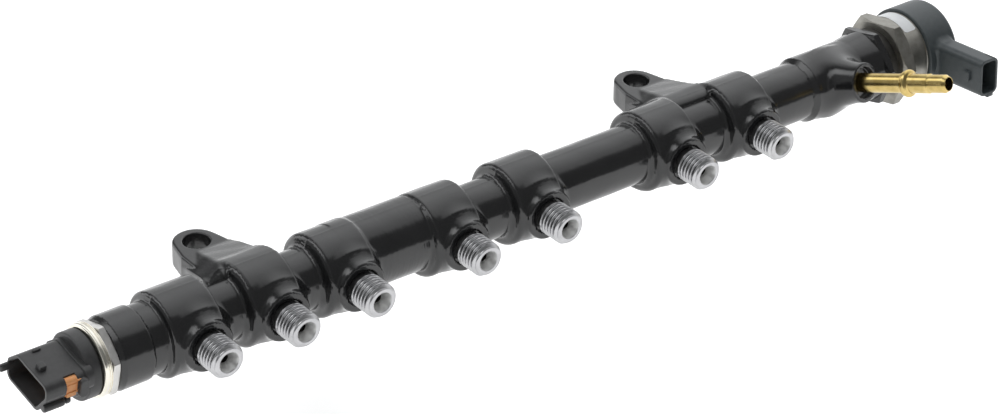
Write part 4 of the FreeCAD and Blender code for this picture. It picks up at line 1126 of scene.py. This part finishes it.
def rough_forging():
    """Closed simple shapes that overlap, as a list of (vertices, faces)."""
    shapes = [lathe(TUBE_OUTLINE, 64)]
    shapes += [lathe(outline, 64) for outline in turned_parts]
    thick = [(THICK_START, 0), (THICK_START, THICK_R), (THICK_END, THICK_R), (THICK_END, 0)]
    shapes.append(turned_about(thick, (0, THICK_BACK, THICK_UP), (1, 0, 0), 64))
    for port in ports:
        shapes.append(turned_about(boss_outline(), (port, 0, 0), (0, -1, 0), 48))
    for lug in lugs:
        shapes.append(ear_ring(lug))
        fold = [(lug + EAR_FLANK, FOLD), (lug - EAR_FLANK, FOLD)]
        ear = [(lug - EAR_FLANK, BAR_ROOT), (lug + EAR_FLANK, BAR_ROOT)] + fold
        shapes.append(bar(ear, SEAT, EAR_TOP))
        pad = [(lug - PAD_LEFT, BAR_ROOT), (lug + PAD_RIGHT, BAR_ROOT)] + fold
        vertices, faces = bar(pad, SEAT, PAD_TOP - 1)
        vertices[6] = (vertices[6][0], FOLD, EAR_TOP)
        vertices[7] = (vertices[7][0], FOLD, EAR_TOP)
        shapes.append((vertices, faces))
    shapes.append(turned_about(nipple_boss_outline(), nipple_start, nipple_axis, 64))
    return shapes


print("rough shapes:", len(rough_forging()))

# %% [markdown]
# The remesh takes the rough union to an even net of small squares and drops all that lies
# inside. After the walk the net lies on the skin, and each point's normal is the slope of the
# distance there, which is exact where an average over the faces around it would not be.

# %% Remesh it and walk it to the skin
NET = 0.56
WALK_STEPS = 6


def forging_mesh():
    """The forging's mesh, with the distance's slope as its normals."""
    vertices, faces = [], []
    for points, polygons in rough_forging():
        base = len(vertices)
        vertices += [tuple(point) for point in points]
        faces += [tuple(base + index for index in polygon) for polygon in polygons]
    rough = loose_object(vertices, faces)
    net = rough.modifiers.new("net", "REMESH")
    net.mode = "VOXEL"
    net.voxel_size = NET
    net.adaptivity = 0.0
    ease = rough.modifiers.new("ease", "SMOOTH")
    ease.factor = 0.5
    ease.iterations = 2
    graph = bpy.context.evaluated_depsgraph_get()
    fine = bpy.data.meshes.new_from_object(rough.evaluated_get(graph))
    bpy.data.objects.remove(rough)
    count = len(fine.vertices)
    flat = np.empty(count * 3)
    fine.vertices.foreach_get("co", flat)
    points = walk_to_skin(flat.reshape(count, 3), WALK_STEPS)
    fine.vertices.foreach_set("co", points.ravel())
    slope = slope_at(points, skin_distance(points))
    slope /= np.maximum(np.linalg.norm(slope, axis=1), 1e-6)[:, None]
    fine.transform(to_place)
    fine.shade_smooth()
    fine.normals_split_custom_set_from_vertices([tuple(normal) for normal in slope])
    return fine


forging_skin = forging_mesh()
forging_skin.name = "forging"
forging_skin.materials.clear()
forging_skin.materials.append(black_paint)
forging = bpy.data.objects.new("forging", forging_skin)
bpy.context.collection.objects.link(forging)
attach(forging, "rail")
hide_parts("rail_body")
print("forging:", len(forging_skin.vertices), "points,", len(forging_skin.polygons), "faces")


# %% [markdown]
# ## The hexagon at the valve's end
#
# It is part of the same forging and has the same paint, but its edges are milled and crisp.
# An even net would fray them, so this length is a mesh of its own: a lathe told how wide a
# hexagon is in each direction. The cone that cuts its corners then leaves the curved edge that
# every nut has.

# %% The black hexagon
END_HEX_FLATS = 26.0
END_HEX_CORNER = 47.0
END_HEX_FACE_R = 12.7
END_HEX_CHAMFER = 0.7


def hexagon_profile(start, end, flats, face_r, chamfer):
    """A hexagon's profile with its corners cut by a cone at both ends."""
    corner = flats / 2 / math.cos(math.pi / 6)
    points = [(start, 0), (start, face_r)]
    points += steps_between((start + 0.08, face_r + 0.3), (start + chamfer, corner), 8)
    points += steps_between((end - chamfer, corner), (end - 0.08, face_r + 0.3), 8)
    return points + [(end, face_r), (end, 0)]


hex_end = VALVE_END - END_HEX_SETBACK
hex_angles, hex_side = hexagon(END_HEX_FLATS, END_HEX_CORNER, 0.5)
hex_profile = hexagon_profile(hex_end - END_HEX_RUN, hex_end, END_HEX_FLATS, END_HEX_FACE_R, END_HEX_CHAMFER)
end_hexagon = add_piece("end_hexagon", *lathe(hex_profile, hex_angles, hex_side),
                        black_paint, "coated_steel", ("rail_body",), smooth_angle=18)
print("end hexagon:", len(end_hexagon.data.polygons), "faces")


# %% [markdown]
# ## The threaded stubs
#
# Each stub carries an M12 x 1.5 thread for a pipe's nut. The thread is a height over a grid:
# rings of points along the stub, and at each point a radius that depends on how far along and
# how far around it lies. Because one turn moves the profile on by one pitch, the crests come
# out as a true helix. The last turns run out in the chamfer at the tip. The mouth has a flat
# ring, then the cone that the pipe's head seals in, then the drilling.
#
# The photograph shows dark grooves between bright crests, a pale cone and a drilling that is
# nearly black. So the faces get one of four finishes by their distance from the stub's axis:
# the grooves and the drilling are painted dark as shade, and the cone is painted pale for the
# light it reflects.

# %% Sizes of a stub
PITCH = 1.5
THREAD_R = 6.0
THREAD_DEPTH = 0.92
CREST = 0.15
FLANK = 0.46
PORT_REACH = 26.4
THREAD_START = 16.9
STUB_ROOT = 14.4
UNDERCUT_R = 5.1
TIP_CHAMFER = 1.1
RUN_IN_SLOPE = 1.6
MOUTH_R = 3.5
MOUTH_EDGE = 0.15
DRILLING_R = 1.6
DRILLING_FLOOR = 0.8
GROOVE_SHADE_R = 5.38
SHADE_PLAY = 0.02
CONE_DEPTH = (MOUTH_R - DRILLING_R) / math.tan(math.radians(30))
STUB_SIDES = 80
ROWS_PER_TURN = 13


def thread_radius(along, turn):
    """The thread's radius at a distance along the stub and a share of a turn around it."""
    off = PITCH / 2 - abs((along / PITCH - turn) % 1.0 - 0.5) * PITCH
    drop = min(max((off - CREST) / FLANK, 0), 1)
    drop = drop * drop * (3 - 2 * drop) * 0.5 + drop * 0.5
    radius = THREAD_R - THREAD_DEPTH * drop
    chamfer = THREAD_R - TIP_CHAMFER + (PORT_REACH - along)
    start = UNDERCUT_R + max(along - THREAD_START + 0.25, 0) * RUN_IN_SLOPE
    return min(radius, chamfer, start)


def stub_shape(port):
    """A stub from its root out along the thread and back in through its mouth."""
    thread_run = PORT_REACH - THREAD_START
    rows = int(thread_run / PITCH * ROWS_PER_TURN)
    rings = [(STUB_ROOT, UNDERCUT_R), (THREAD_START - 0.3, UNDERCUT_R)]
    rings += [(THREAD_START + thread_run * row / rows, "thread") for row in range(rows + 1)]
    rings += [(PORT_REACH, MOUTH_R + MOUTH_EDGE), (PORT_REACH - 0.12, MOUTH_R)]
    rings += [(PORT_REACH - CONE_DEPTH, DRILLING_R)]
    rings += [(STUB_ROOT + DRILLING_FLOOR, DRILLING_R), (STUB_ROOT + DRILLING_FLOOR, 0.05)]
    loops = []
    for along, size in rings:
        loop = []
        for step in range(STUB_SIDES):
            turn = step / STUB_SIDES
            radius = thread_radius(along, turn) if size == "thread" else size
            angle = 2 * math.pi * turn
            loop.append((port + radius * math.sin(angle), -along, radius * math.cos(angle)))
        loops.append(loop)
    return loft(loops)


print("turns of thread on a stub:", round((PORT_REACH - THREAD_START) / PITCH, 1))


# %% Seven stubs
def shade_stub(mesh, port):
    """Paints the grooves and the drilling dark as shade, and the seat pale for the light it reflects."""
    for coat in (groove_shade_steel, bore_painted_shade, seat_painted_light):
        mesh.materials.append(coat)
    for face in mesh.polygons:
        off = math.hypot(face.center.x / MM - port, face.center.z / MM - AXIS_Z)
        out = AXIS_Y - face.center.y / MM
        if off < DRILLING_R + SHADE_PLAY:
            face.material_index = 2
        elif off < MOUTH_R + SHADE_PLAY:
            face.material_index = 3
        elif MOUTH_R + 1 < off < GROOVE_SHADE_R and out < PORT_REACH - TIP_CHAMFER:
            face.material_index = 1


for number, port in enumerate(ports, start=1):
    stub = add_piece(f"port_stub_{number}", *stub_shape(port), thread_steel, "plated_steel",
                     ("rail_body",), smooth_angle=50)
    shade_stub(stub.data, port)
print("each stub:", len(stub.data.polygons), "faces")


# %% [markdown]
# ## The return nipple
#
# A yellow plated steel tube pressed into its boss. It is turned: a plain shank, a bead that a
# hose connector snaps behind, a slightly thinner tip and a chamfer. The bead has a thin ring
# rolled up against it on the rail's side, which shows as a double line. A profile says all
# this in a dozen corners, each with its own round, so a lathe is the short way.

# %% The nipple
NIPPLE_R = 3.48
NIPPLE_BORE_R = 2.3
NIPPLE_REACH = 56.4
NIPPLE_SEAT = 13.5
BEAD = 39.4
BEAD_R = 4.9
TIP_R = 3.25
TIP_RUN = 7.4
TIP_START = NIPPLE_REACH - TIP_RUN

nipple_profile = [(NIPPLE_SEAT, NIPPLE_BORE_R), (NIPPLE_SEAT, NIPPLE_R)]
nipple_profile += [(BEAD - 1.75, NIPPLE_R, 0.2), (BEAD - 1.55, 4.35, 0.3), (BEAD - 1.05, 4.5, 0.2)]
nipple_profile += [(BEAD - 0.85, 4.15, 0.1), (BEAD - 0.55, BEAD_R, 0.6), (BEAD + 0.75, BEAD_R, 0.9)]
nipple_profile += [(BEAD + 1.3, NIPPLE_R, 0.5), (TIP_START - 0.35, NIPPLE_R, 0.1)]
nipple_profile += [(TIP_START, TIP_R - 0.08, 0.1), (TIP_START + 0.5, TIP_R, 0.1)]
nipple_profile += [(NIPPLE_REACH - 1.3, TIP_R, 0.6), (NIPPLE_REACH, TIP_R - 0.75, 0.3)]
nipple_profile += [(NIPPLE_REACH, NIPPLE_BORE_R, 0.15)]
nipple_shape = turned_about(eased(nipple_profile), nipple_start, nipple_axis, 96)
nipple = add_piece("nipple", *nipple_shape, yellow_plating, "yellow_plated_steel", ("return_nipple",))
print("nipple:", len(nipple.data.polygons), "faces")


# %% [markdown]
# ## The pressure sensor
#
# From the rail outwards: a steel hexagon that screws into the collar, a bright ring crimped
# over the cap's flange, the black moulded cap, and the plug housing with its six sided mouth.
# The steel parts are turned. The hexagon's screw thread is inside the collar, out of sight, so
# its shank stays plain.

# %% The sensor's steel parts
SENSOR_FLATS = 22.0
SENSOR_CORNER = 43.6
SENSOR_HEX_RUN = 3.0
SENSOR_HEX_FACE_R = 10.8
SENSOR_HEX_CHAMFER = 0.5
SPIGOT_R = 9.2
SPIGOT_RUN = 1.0
SHANK_R = 8.9
SHANK_RUN = 12.0
NOSE_RUN = 16.3
RING_R = 12.3
RING_RUN = 2.9

hex_start = SENSOR_END - SENSOR_HEX_RUN
nose_end = SENSOR_END + NOSE_RUN
sensor_profile = [(hex_start - SPIGOT_RUN, 0), (hex_start - SPIGOT_RUN, SPIGOT_R)]
sensor_profile += hexagon_profile(hex_start, SENSOR_END, SENSOR_FLATS,
                                  SENSOR_HEX_FACE_R, SENSOR_HEX_CHAMFER)[1:-1]
sensor_profile += [(SENSOR_END, SHANK_R), (SENSOR_END + SHANK_RUN, SHANK_R)]
sensor_profile += [(SENSOR_END + SHANK_RUN, 6.0), (nose_end, 5.0), (nose_end, 0)]
sensor_angles, sensor_side = hexagon(SENSOR_FLATS, SENSOR_CORNER, 0.4)
sensor_hexagon = add_piece("sensor_hexagon", *lathe(sensor_profile, sensor_angles, sensor_side),
                           pale_steel, "plated_steel", ("sensor_body",), smooth_angle=18)

ring_left = hex_start - RING_RUN
ring_profile = [(ring_left, 10.3), (ring_left, 11.3, 0.1), (ring_left + 0.35, RING_R, 0.7)]
ring_profile += [(ring_left + 1.55, RING_R - 0.05, 0.3), (ring_left + 1.75, RING_R - 0.45, 0.1)]
ring_profile += [(ring_left + 1.95, RING_R - 0.45, 0.1), (ring_left + 2.05, RING_R - 0.15, 0.1)]
ring_profile += [(ring_left + 2.35, RING_R - 0.2, 0.1), (ring_left + 2.42, RING_R - 0.5, 0.05)]
ring_profile += [(ring_left + 2.55, RING_R - 0.5, 0.05), (ring_left + 2.6, RING_R - 0.2, 0.05)]
ring_profile += [(ring_left + RING_RUN - 0.01, RING_R - 0.3, 0.1), (ring_left + RING_RUN - 0.01, 10.3)]
crimp_ring = add_piece("crimp_ring", *lathe(eased(ring_profile), 144), bright_steel, "bright_steel",
                       ("sensor_ring",))
print("sensor hexagon and ring:", len(sensor_hexagon.data.polygons), len(crimp_ring.data.polygons))


# %% [markdown]
# The cap and the plug housing are one moulding. The housing is a loft of its six sided outline
# that turns round at the mouth and comes back inside, so its wall has true thickness. A thin
# root plate, a block beside the window, a lock nub, a low ridge, a rib in two lengths and a
# tab at the mouth are joined to it. The window that shows the orange insert and a groove beside
# the rib are cut last.
#
# What stands on the housing is drawn flat, on its top or on its side, and a small function
# takes each point to its place on the turned housing.

# %% The plug's outline and the places on it
CAP_R = 11.2
CAP_NECK_R = 10.1
CAP_FLANGE_END = SENSOR_END - 4.1
CAP_RIGHT = SENSOR_END - 6.4
CAP_LEFT = SENSOR_END - 11.1
MOUTH_X = SENSOR_END - 26.5
PLUG_TURN = math.radians(11.0)
PLUG_SIDE = 11.4
PLUG_TOP = 7.0
PLUG_BOTTOM = -6.3
PLUG_OUTLINE = [(-PLUG_SIDE, PLUG_TOP), (-PLUG_SIDE, 1.9), (-6.4, PLUG_BOTTOM),
                (PLUG_SIDE, PLUG_BOTTOM), (PLUG_SIDE, 1.4), (6.2, PLUG_TOP)]
PLUG_CORNER = 2.8
PLUG_WALL = 1.2


def plug_point(u, v, x):
    """A point of the plug's own turned outline, at a station along the rail."""
    c, s = math.cos(PLUG_TURN), math.sin(PLUG_TURN)
    return x, u * c - v * s, u * s + v * c


def on_plug_top(u, v, height):
    """For shapes that stand on the plug's top: u along the rail, v across, and height."""
    return plug_point(v, PLUG_TOP + height, MOUTH_X + u)


def on_plug_side(u, v, height):
    """For shapes that stand on the plug's flat side: u along the rail, v up, and height."""
    return plug_point(-PLUG_SIDE - height, v, MOUTH_X + u)


print("the plug's mouth lies", round(SENSOR_END - MOUTH_X, 1), "mm out from the collar")


# %% The cap and the housing's shell
def cap_shape():
    """The round cap with its neck inside the crimped ring."""
    profile = [(CAP_LEFT, 0), (CAP_LEFT, CAP_R, 0.7), (CAP_RIGHT, CAP_R, 0.35)]
    profile += [(CAP_RIGHT, CAP_NECK_R, 0.1), (CAP_FLANGE_END, CAP_NECK_R), (CAP_FLANGE_END, 0)]
    return lathe(eased(profile, steps=4), 128)


def housing_shape():
    """The housing's wall, out to the mouth and back in to its floor."""
    outside = [(CAP_LEFT + 1.5, 0), (MOUTH_X + 0.3, 0), (MOUTH_X + 0.08, 0.08), (MOUTH_X, 0.3)]
    inside = [(MOUTH_X, PLUG_WALL - 0.3), (MOUTH_X + 0.1, PLUG_WALL - 0.06)]
    inside += [(MOUTH_X + 0.35, PLUG_WALL), (CAP_LEFT - 0.9, PLUG_WALL)]
    return moulded(PLUG_OUTLINE, PLUG_CORNER, outside + inside, plug_point)


def root_plate():
    """A thin plate round the housing where it meets the cap."""
    stations = [(CAP_LEFT - 1.6, 0.15), (CAP_LEFT - 1.6, -0.25)]
    stations += [(CAP_LEFT - 1.4, -0.45), (CAP_LEFT + 1.2, -0.45)]
    return moulded(PLUG_OUTLINE, PLUG_CORNER, stations, plug_point)


print("wall of the housing:", PLUG_WALL, "mm")

# %% What stands on the housing, and what is cut from it
SIDE_BLOCK = rectangle(11.3, 14.5, -1.0, 6.0)
LOCK_NUB = rectangle(1.9, 4.4, -3.8, -1.1)
LOW_RIDGE = rectangle(4.6, 7.4, 4.5, 5.7)
MOUTH_TAB = rectangle(9.8, 11.3, -2.5, 0.3)
WINDOW = rectangle(7.0, 11.0, -0.4, 8.4)
RIB_GROOVE = rectangle(-11.6, -10.1, -3.7, -3.2)
RIB_PLACE = (-9.2, -2.6)


def rib_shape(start, end, radius, end_round):
    """One length of the round rib, from start to end behind the mouth."""
    profile = eased([(start, 0), (start, radius, 0.5), (end, radius, end_round), (end, 0)], steps=4)
    return turned_about(profile, plug_point(*RIB_PLACE, MOUTH_X), (1, 0, 0), 32)


def plug_moulding():
    """The whole moulding of cap and housing."""
    block = moulded(SIDE_BLOCK, 1.3, [(-0.6, 0), (0.75, 0), (1.1, 0.12), (1.2, 0.4)], on_plug_side)
    nub = moulded(LOCK_NUB, 0.35, [(-0.6, 0), (1.35, 0), (1.6, 0.1), (1.7, 0.35)], on_plug_top)
    ridge = moulded(LOW_RIDGE, 0.35, [(-0.6, 0), (0.4, 0), (0.6, 0.2)], on_plug_top)
    ribs = [rib_shape(0.12, 7.5, 1.6, 0.9), rib_shape(7.9, 9.6, 1.4, 0.7)]
    tab_ends = [(MOUTH_X - 3.1, 0.4), (MOUTH_X - 2.8, 0.1), (MOUTH_X - 2.5, 0), (MOUTH_X + 1.5, 0)]
    tab = moulded(MOUTH_TAB, 0.6, tab_ends, plug_point)
    window = moulded(WINDOW, 0.5, [(-2.7, 0), (2.4, 0)], on_plug_side)
    groove = moulded(RIB_GROOVE, 0.1, [(MOUTH_X + 1.6, 0), (MOUTH_X + 6.4, 0)], plug_point)
    joined = [housing_shape(), root_plate(), block] + ribs + [tab, nub, ridge]
    return combined(cap_shape(), joined, [window, groove])


plug = add_piece("plug_housing", *plug_moulding(), black_plastic, "black_plastic", ("sensor_plug",))
print("cap and plug housing:", len(plug.data.polygons), "faces")


# %% [markdown]
# The orange insert behind the window holds the contacts. The construction model has its inner
# block. What the window shows on the real one is a stepped catch, so a block with rounded
# corners fills the window, and two plates are raised on it. The plates are sunk a little way
# into the block, which never shows, so they need no boolean and share one mesh with it.

# %% The insert's catch
CATCH_BLOCK = rectangle(-10.95, -8.2, -0.3, 6.55)
CATCH_CORNER = 1.3
CATCH_PLATES = [rectangle(7.3, 10.7, 2.7, 4.9), rectangle(7.3, 10.7, -0.1, 1.7)]


def catch_shape():
    """The block in the window and the two plates on it."""
    ends = [(MOUTH_X + 7.02, 0), (MOUTH_X + 10.98, 0)]
    shapes = [moulded(CATCH_BLOCK, CATCH_CORNER, ends, plug_point)]
    for plate in CATCH_PLATES:
        shapes.append(moulded(plate, 0.3, [(-1.2, 0), (-0.25, 0), (-0.15, 0.12)], on_plug_side))
    vertices, faces = [], []
    for points, polygons in shapes:
        faces += [tuple(len(vertices) + index for index in polygon) for polygon in polygons]
        vertices += points
    return vertices, faces


catch = add_piece("insert_catch", *catch_shape(), orange_plastic, "orange_plastic")
print("catch:", len(catch.data.polygons), "faces")


# %% [markdown]
# ## The pressure control valve
#
# The valve screws into the far end. Its hexagon stands out against the dark gap before it, its
# can is a plain drawn cup with a fine groove near its rim, and both are zinc plated. The
# hexagon is the same lathe as before with larger chamfers. The shank before it is in shadow,
# so its steel is painted nearly black as shade.

# %% The valve's steel parts
VALVE_HEX_FLATS = 30.0
VALVE_HEX_CORNER = 53.3
VALVE_HEX_FACE_R = 14.6
VALVE_HEX_CHAMFER = 1.3
VALVE_HEX_START = VALVE_END + 3.1
VALVE_HEX_END = VALVE_HEX_START + 5.6
VALVE_NOSE_R = 6.0
VALVE_NOSE_START = VALVE_END - 26.9
VALVE_NOSE_END = VALVE_END - 21.6
CAN_R = 14.9
CAN_END = VALVE_HEX_END + 7.3
CAN_GROOVE_R = CAN_R - 0.15
GAP_START = VALVE_END + 0.05
GAP_END = VALVE_HEX_START + 0.2
GAP_R = 12.5

shank_profile = [(VALVE_NOSE_START, 0), (VALVE_NOSE_START, VALVE_NOSE_R), (VALVE_NOSE_END, VALVE_NOSE_R)]
shank_profile += [(VALVE_NOSE_END, SHANK_R), (GAP_START, SHANK_R)]
shank_profile += [(GAP_START, GAP_R, 0.3), (GAP_END, GAP_R), (GAP_END, 0)]
# the shank's steel is painted nearly black as shade
shank = add_piece("valve_shank", *lathe(eased(shank_profile), 96), shank_shade_steel, "plated_steel",
                  ("valve_body",))
valve_angles, valve_side = hexagon(VALVE_HEX_FLATS, VALVE_HEX_CORNER, 0.5)
valve_hex_profile = hexagon_profile(VALVE_HEX_START, VALVE_HEX_END, VALVE_HEX_FLATS,
                                    VALVE_HEX_FACE_R, VALVE_HEX_CHAMFER)
valve_hexagon = add_piece("valve_hexagon", *lathe(valve_hex_profile, valve_angles, valve_side),
                          plated_steel, "plated_steel", ("valve_body",), smooth_angle=18)
can_profile = [(VALVE_HEX_END - 0.3, 0), (VALVE_HEX_END - 0.3, CAN_R), (CAN_END - 1.0, CAN_R, 0.1)]
can_profile += [(CAN_END - 0.85, CAN_GROOVE_R, 0.05), (CAN_END - 0.65, CAN_GROOVE_R, 0.05)]
can_profile += [(CAN_END - 0.5, CAN_R, 0.1), (CAN_END, CAN_R, 0.3), (CAN_END, 0)]
valve_can = add_piece("valve_can", *lathe(eased(can_profile), 144), plated_steel, "plated_steel",
                      ("valve_body",))
for made in (shank, valve_hexagon, valve_can):
    print(made.name, len(made.data.polygons), "faces")


# %% [markdown]
# The cap's connector leaves a round cap sideways, and the real moulding has a soft fillet
# where the two meet. That fillet is worked out, not sculpted: for each point of the
# connector's outline a short curve runs from its wall to the cap's round side, with its
# control point where wall and side would cross. All these curves together are the fillet.
# Then a lock nub and a hook are joined on and a slot is cut, with the same booleans as before.

# %% Sizes of the valve's cap and its connector
VALVE_CAP_R = 16.1
VALVE_CAP_END = CAN_END + 13.7
SOCKET_X = VALVE_CAP_END - 6.0
SOCKET_REACH = 37.5
SOCKET_TILT = math.radians(5.5)
SOCKET_HALF_WIDTH = 4.35
SOCKET_HALF_HEIGHT = 6.95
SOCKET_CORNER = 2.4
SOCKET_WALL = 1.1
SOCKET_DEPTH = 11.0
FILLET = 2.3
FILLET_AT_END = 0.35
CONNECTOR_NUB = rectangle(29.5, 32.5, -1.8, 1.8)
CONNECTOR_HOOK = rectangle(SOCKET_REACH - 1.4, SOCKET_REACH + 0.1,
                           -SOCKET_HALF_HEIGHT - 0.9, -SOCKET_HALF_HEIGHT + 0.5)
CONNECTOR_SLOT = rectangle(SOCKET_REACH - 4.2, SOCKET_REACH + 1,
                           SOCKET_HALF_HEIGHT - 0.35, SOCKET_HALF_HEIGHT + 1)


def socket_point(u, v, reach):
    """u along the rail, v up, and reach along the connector, which tilts up a little."""
    c, s = math.cos(SOCKET_TILT), math.sin(SOCKET_TILT)
    return SOCKET_X + u, -(reach * c - v * s), reach * s + v * c


def on_socket_side(u, v, height):
    """For shapes on the connector's side that faces along the rail: u outwards, v up."""
    return socket_point(-SOCKET_HALF_WIDTH - height, v, u)


def socket_outline(inset):
    """The connector's rounded outline, drawn in by that much."""
    corners = rectangle(-SOCKET_HALF_WIDTH, SOCKET_HALF_WIDTH, -SOCKET_HALF_HEIGHT, SOCKET_HALF_HEIGHT)
    return rounded_outline(inset_corners(corners, inset), max(SOCKET_CORNER - inset, 0.1), 8)


print("the connector reaches", SOCKET_REACH, "mm out from the rail's axis")


# %% The fillet and the connector's shell
def fillet_loops(steps=7):
    """Loops from the cap's round side up to the connector's wall."""
    wall = socket_outline(0)
    outer = socket_outline(-1)
    loops = [[] for _ in range(steps + 1)]
    for (u, v), (far_u, far_v) in zip(wall, outer):
        out = Vector((far_u - u, far_v - v)).normalized()
        size = FILLET + (FILLET_AT_END - FILLET) * max(out.x, 0)
        foot_u, foot_v = u + out.x * size, v + out.y * size
        crossing = math.sqrt(VALVE_CAP_R ** 2 - v * v)
        start = Vector((foot_u, foot_v, math.sqrt(VALVE_CAP_R ** 2 - foot_v ** 2) - 0.03))
        bend, end = Vector((u, v, crossing)), Vector((u, v, crossing + size))
        for step in range(steps + 1):
            t = step / steps
            loops[step].append(socket_point(*((1 - t) ** 2 * start + 2 * t * (1 - t) * bend + t * t * end)))
    return loops


def socket_loops():
    """All the connector's loops, from inside the cap to the floor of its mouth."""
    root = [socket_point(u, v, 9.0) for u, v in socket_outline(0.3)]
    shell = [(SOCKET_REACH - 0.35, 0), (SOCKET_REACH - 0.1, 0.08), (SOCKET_REACH, 0.3),
             (SOCKET_REACH, SOCKET_WALL - 0.25), (SOCKET_REACH - 0.12, SOCKET_WALL - 0.05),
             (SOCKET_REACH - 0.4, SOCKET_WALL), (SOCKET_REACH - SOCKET_DEPTH, SOCKET_WALL)]
    return [root] + fillet_loops() + [[socket_point(u, v, reach) for u, v in socket_outline(inset)]
                                      for reach, inset in shell]


print("fillet:", FILLET, "mm, and", FILLET_AT_END, "mm where the cap ends")


# %% The valve's cap with its connector
def cap_moulding():
    """The whole moulding of cap and connector."""
    body = eased([(CAN_END, 0), (CAN_END, VALVE_CAP_R, 0.5), (VALVE_CAP_END, VALVE_CAP_R, 1.6),
                  (VALVE_CAP_END, 0)], steps=6)
    nub = moulded(CONNECTOR_NUB, 0.5, [(-0.5, 0), (0.6, 0), (0.9, 0.12), (1.0, 0.4)], on_socket_side)
    hook = moulded(CONNECTOR_HOOK, 0.3, [(-6.6, 0.15), (-6.4, 0), (-3.9, 0), (-3.7, 0.15)], on_socket_side)
    slot = moulded(CONNECTOR_SLOT, 0.1, [(-6.9, 0), (-6.2, 0)], on_socket_side)
    return combined(lathe(body, 160), [loft(socket_loops()), nub, hook], [slot])


valve_cap = add_piece("cap_with_connector", *cap_moulding(), grey_plastic, "grey_plastic", ("valve_cap",))
print("cap with connector:", len(valve_cap.data.polygons), "faces")


# %% [markdown]
# A blank white label is wrapped part of the way round the can. It could be a flat film bent
# by a modifier, but it is as easily written down bent: a thin curved plate with rounded
# corners, a tenth of a millimetre proud of the steel.

# %% The blank label
LABEL_START = math.radians(61)
LABEL_ARC = math.radians(60)
LABEL_LEFT = VALVE_HEX_END + 0.9
LABEL_RUN = 5.4
LABEL_CORNER = 0.9
LABEL_R = CAN_R + 0.12
LABEL_INNER_R = CAN_R - 0.1


def label_shape(along=60, across=8):
    """A grid on the can's side, drawn in at its corners, with an edge all round."""
    length = LABEL_ARC * LABEL_R
    vertices = []
    for radius in (LABEL_INNER_R, LABEL_R):
        for row in range(along + 1):
            place = length * row / along
            from_end = min(place, length - place, LABEL_CORNER)
            cut = LABEL_CORNER - math.sqrt(LABEL_CORNER ** 2 - (LABEL_CORNER - from_end) ** 2)
            angle = LABEL_START + LABEL_ARC * row / along
            for column in range(across + 1):
                x = LABEL_LEFT + cut + (LABEL_RUN - 2 * cut) * column / across
                vertices.append((x, radius * math.cos(angle), radius * math.sin(angle)))
    layer = (along + 1) * (across + 1)
    faces = []
    for row in range(along):
        for column in range(across):
            a = row * (across + 1) + column
            quad = (a, a + 1, a + across + 2, a + across + 1)
            faces += [tuple(reversed(quad)), tuple(index + layer for index in quad)]
    edge = [row * (across + 1) for row in range(along + 1)]
    edge += [along * (across + 1) + column for column in range(1, across + 1)]
    edge += [row * (across + 1) + across for row in range(along - 1, -1, -1)]
    edge += list(range(across - 1, 0, -1))
    for index, a in enumerate(edge):
        b = edge[(index + 1) % len(edge)]
        faces.append((a, b, b + layer, a + layer))
    return vertices, faces


label = add_piece("label", *label_shape(), white_film, "white_label", ("blank_label",))
print("label:", len(label.data.polygons), "faces,", round(LABEL_ARC * LABEL_R, 1), "mm long when flat")


# %% [markdown]
# ## The pieces that the construction model already has right
#
# The insert, the contacts and all that is inside the sensor and the valve keep their meshes
# and only get a finish. Most of them never show, but the contacts do, deep in both mouths.
# Their objects belong to the frame, so nothing but their material slots is touched.

# %% Finishes for the carried over pieces
KEPT = {
    "contact_carrier": orange_plastic, "measuring_cell": bright_steel, "circuit_board": green_lacquer,
    "sensor_terminal_1": tinned_brass, "sensor_terminal_2": tinned_brass, "sensor_terminal_3": tinned_brass,
    "valve_terminal_1": tinned_brass, "valve_terminal_2": tinned_brass, "bobbin": black_plastic,
    "coil": copper_wire, "pole_core": soft_iron, "armature": soft_iron, "valve_stem": bright_steel,
    "valve_ball": bright_steel, "valve_seat": bright_steel, "valve_spring": bright_steel,
    "o_ring": black_rubber,
}
for node, coat in KEPT.items():
    for slot in bpy.data.objects[node].material_slots:
        slot.material = coat
print("kept nodes:", len(KEPT))
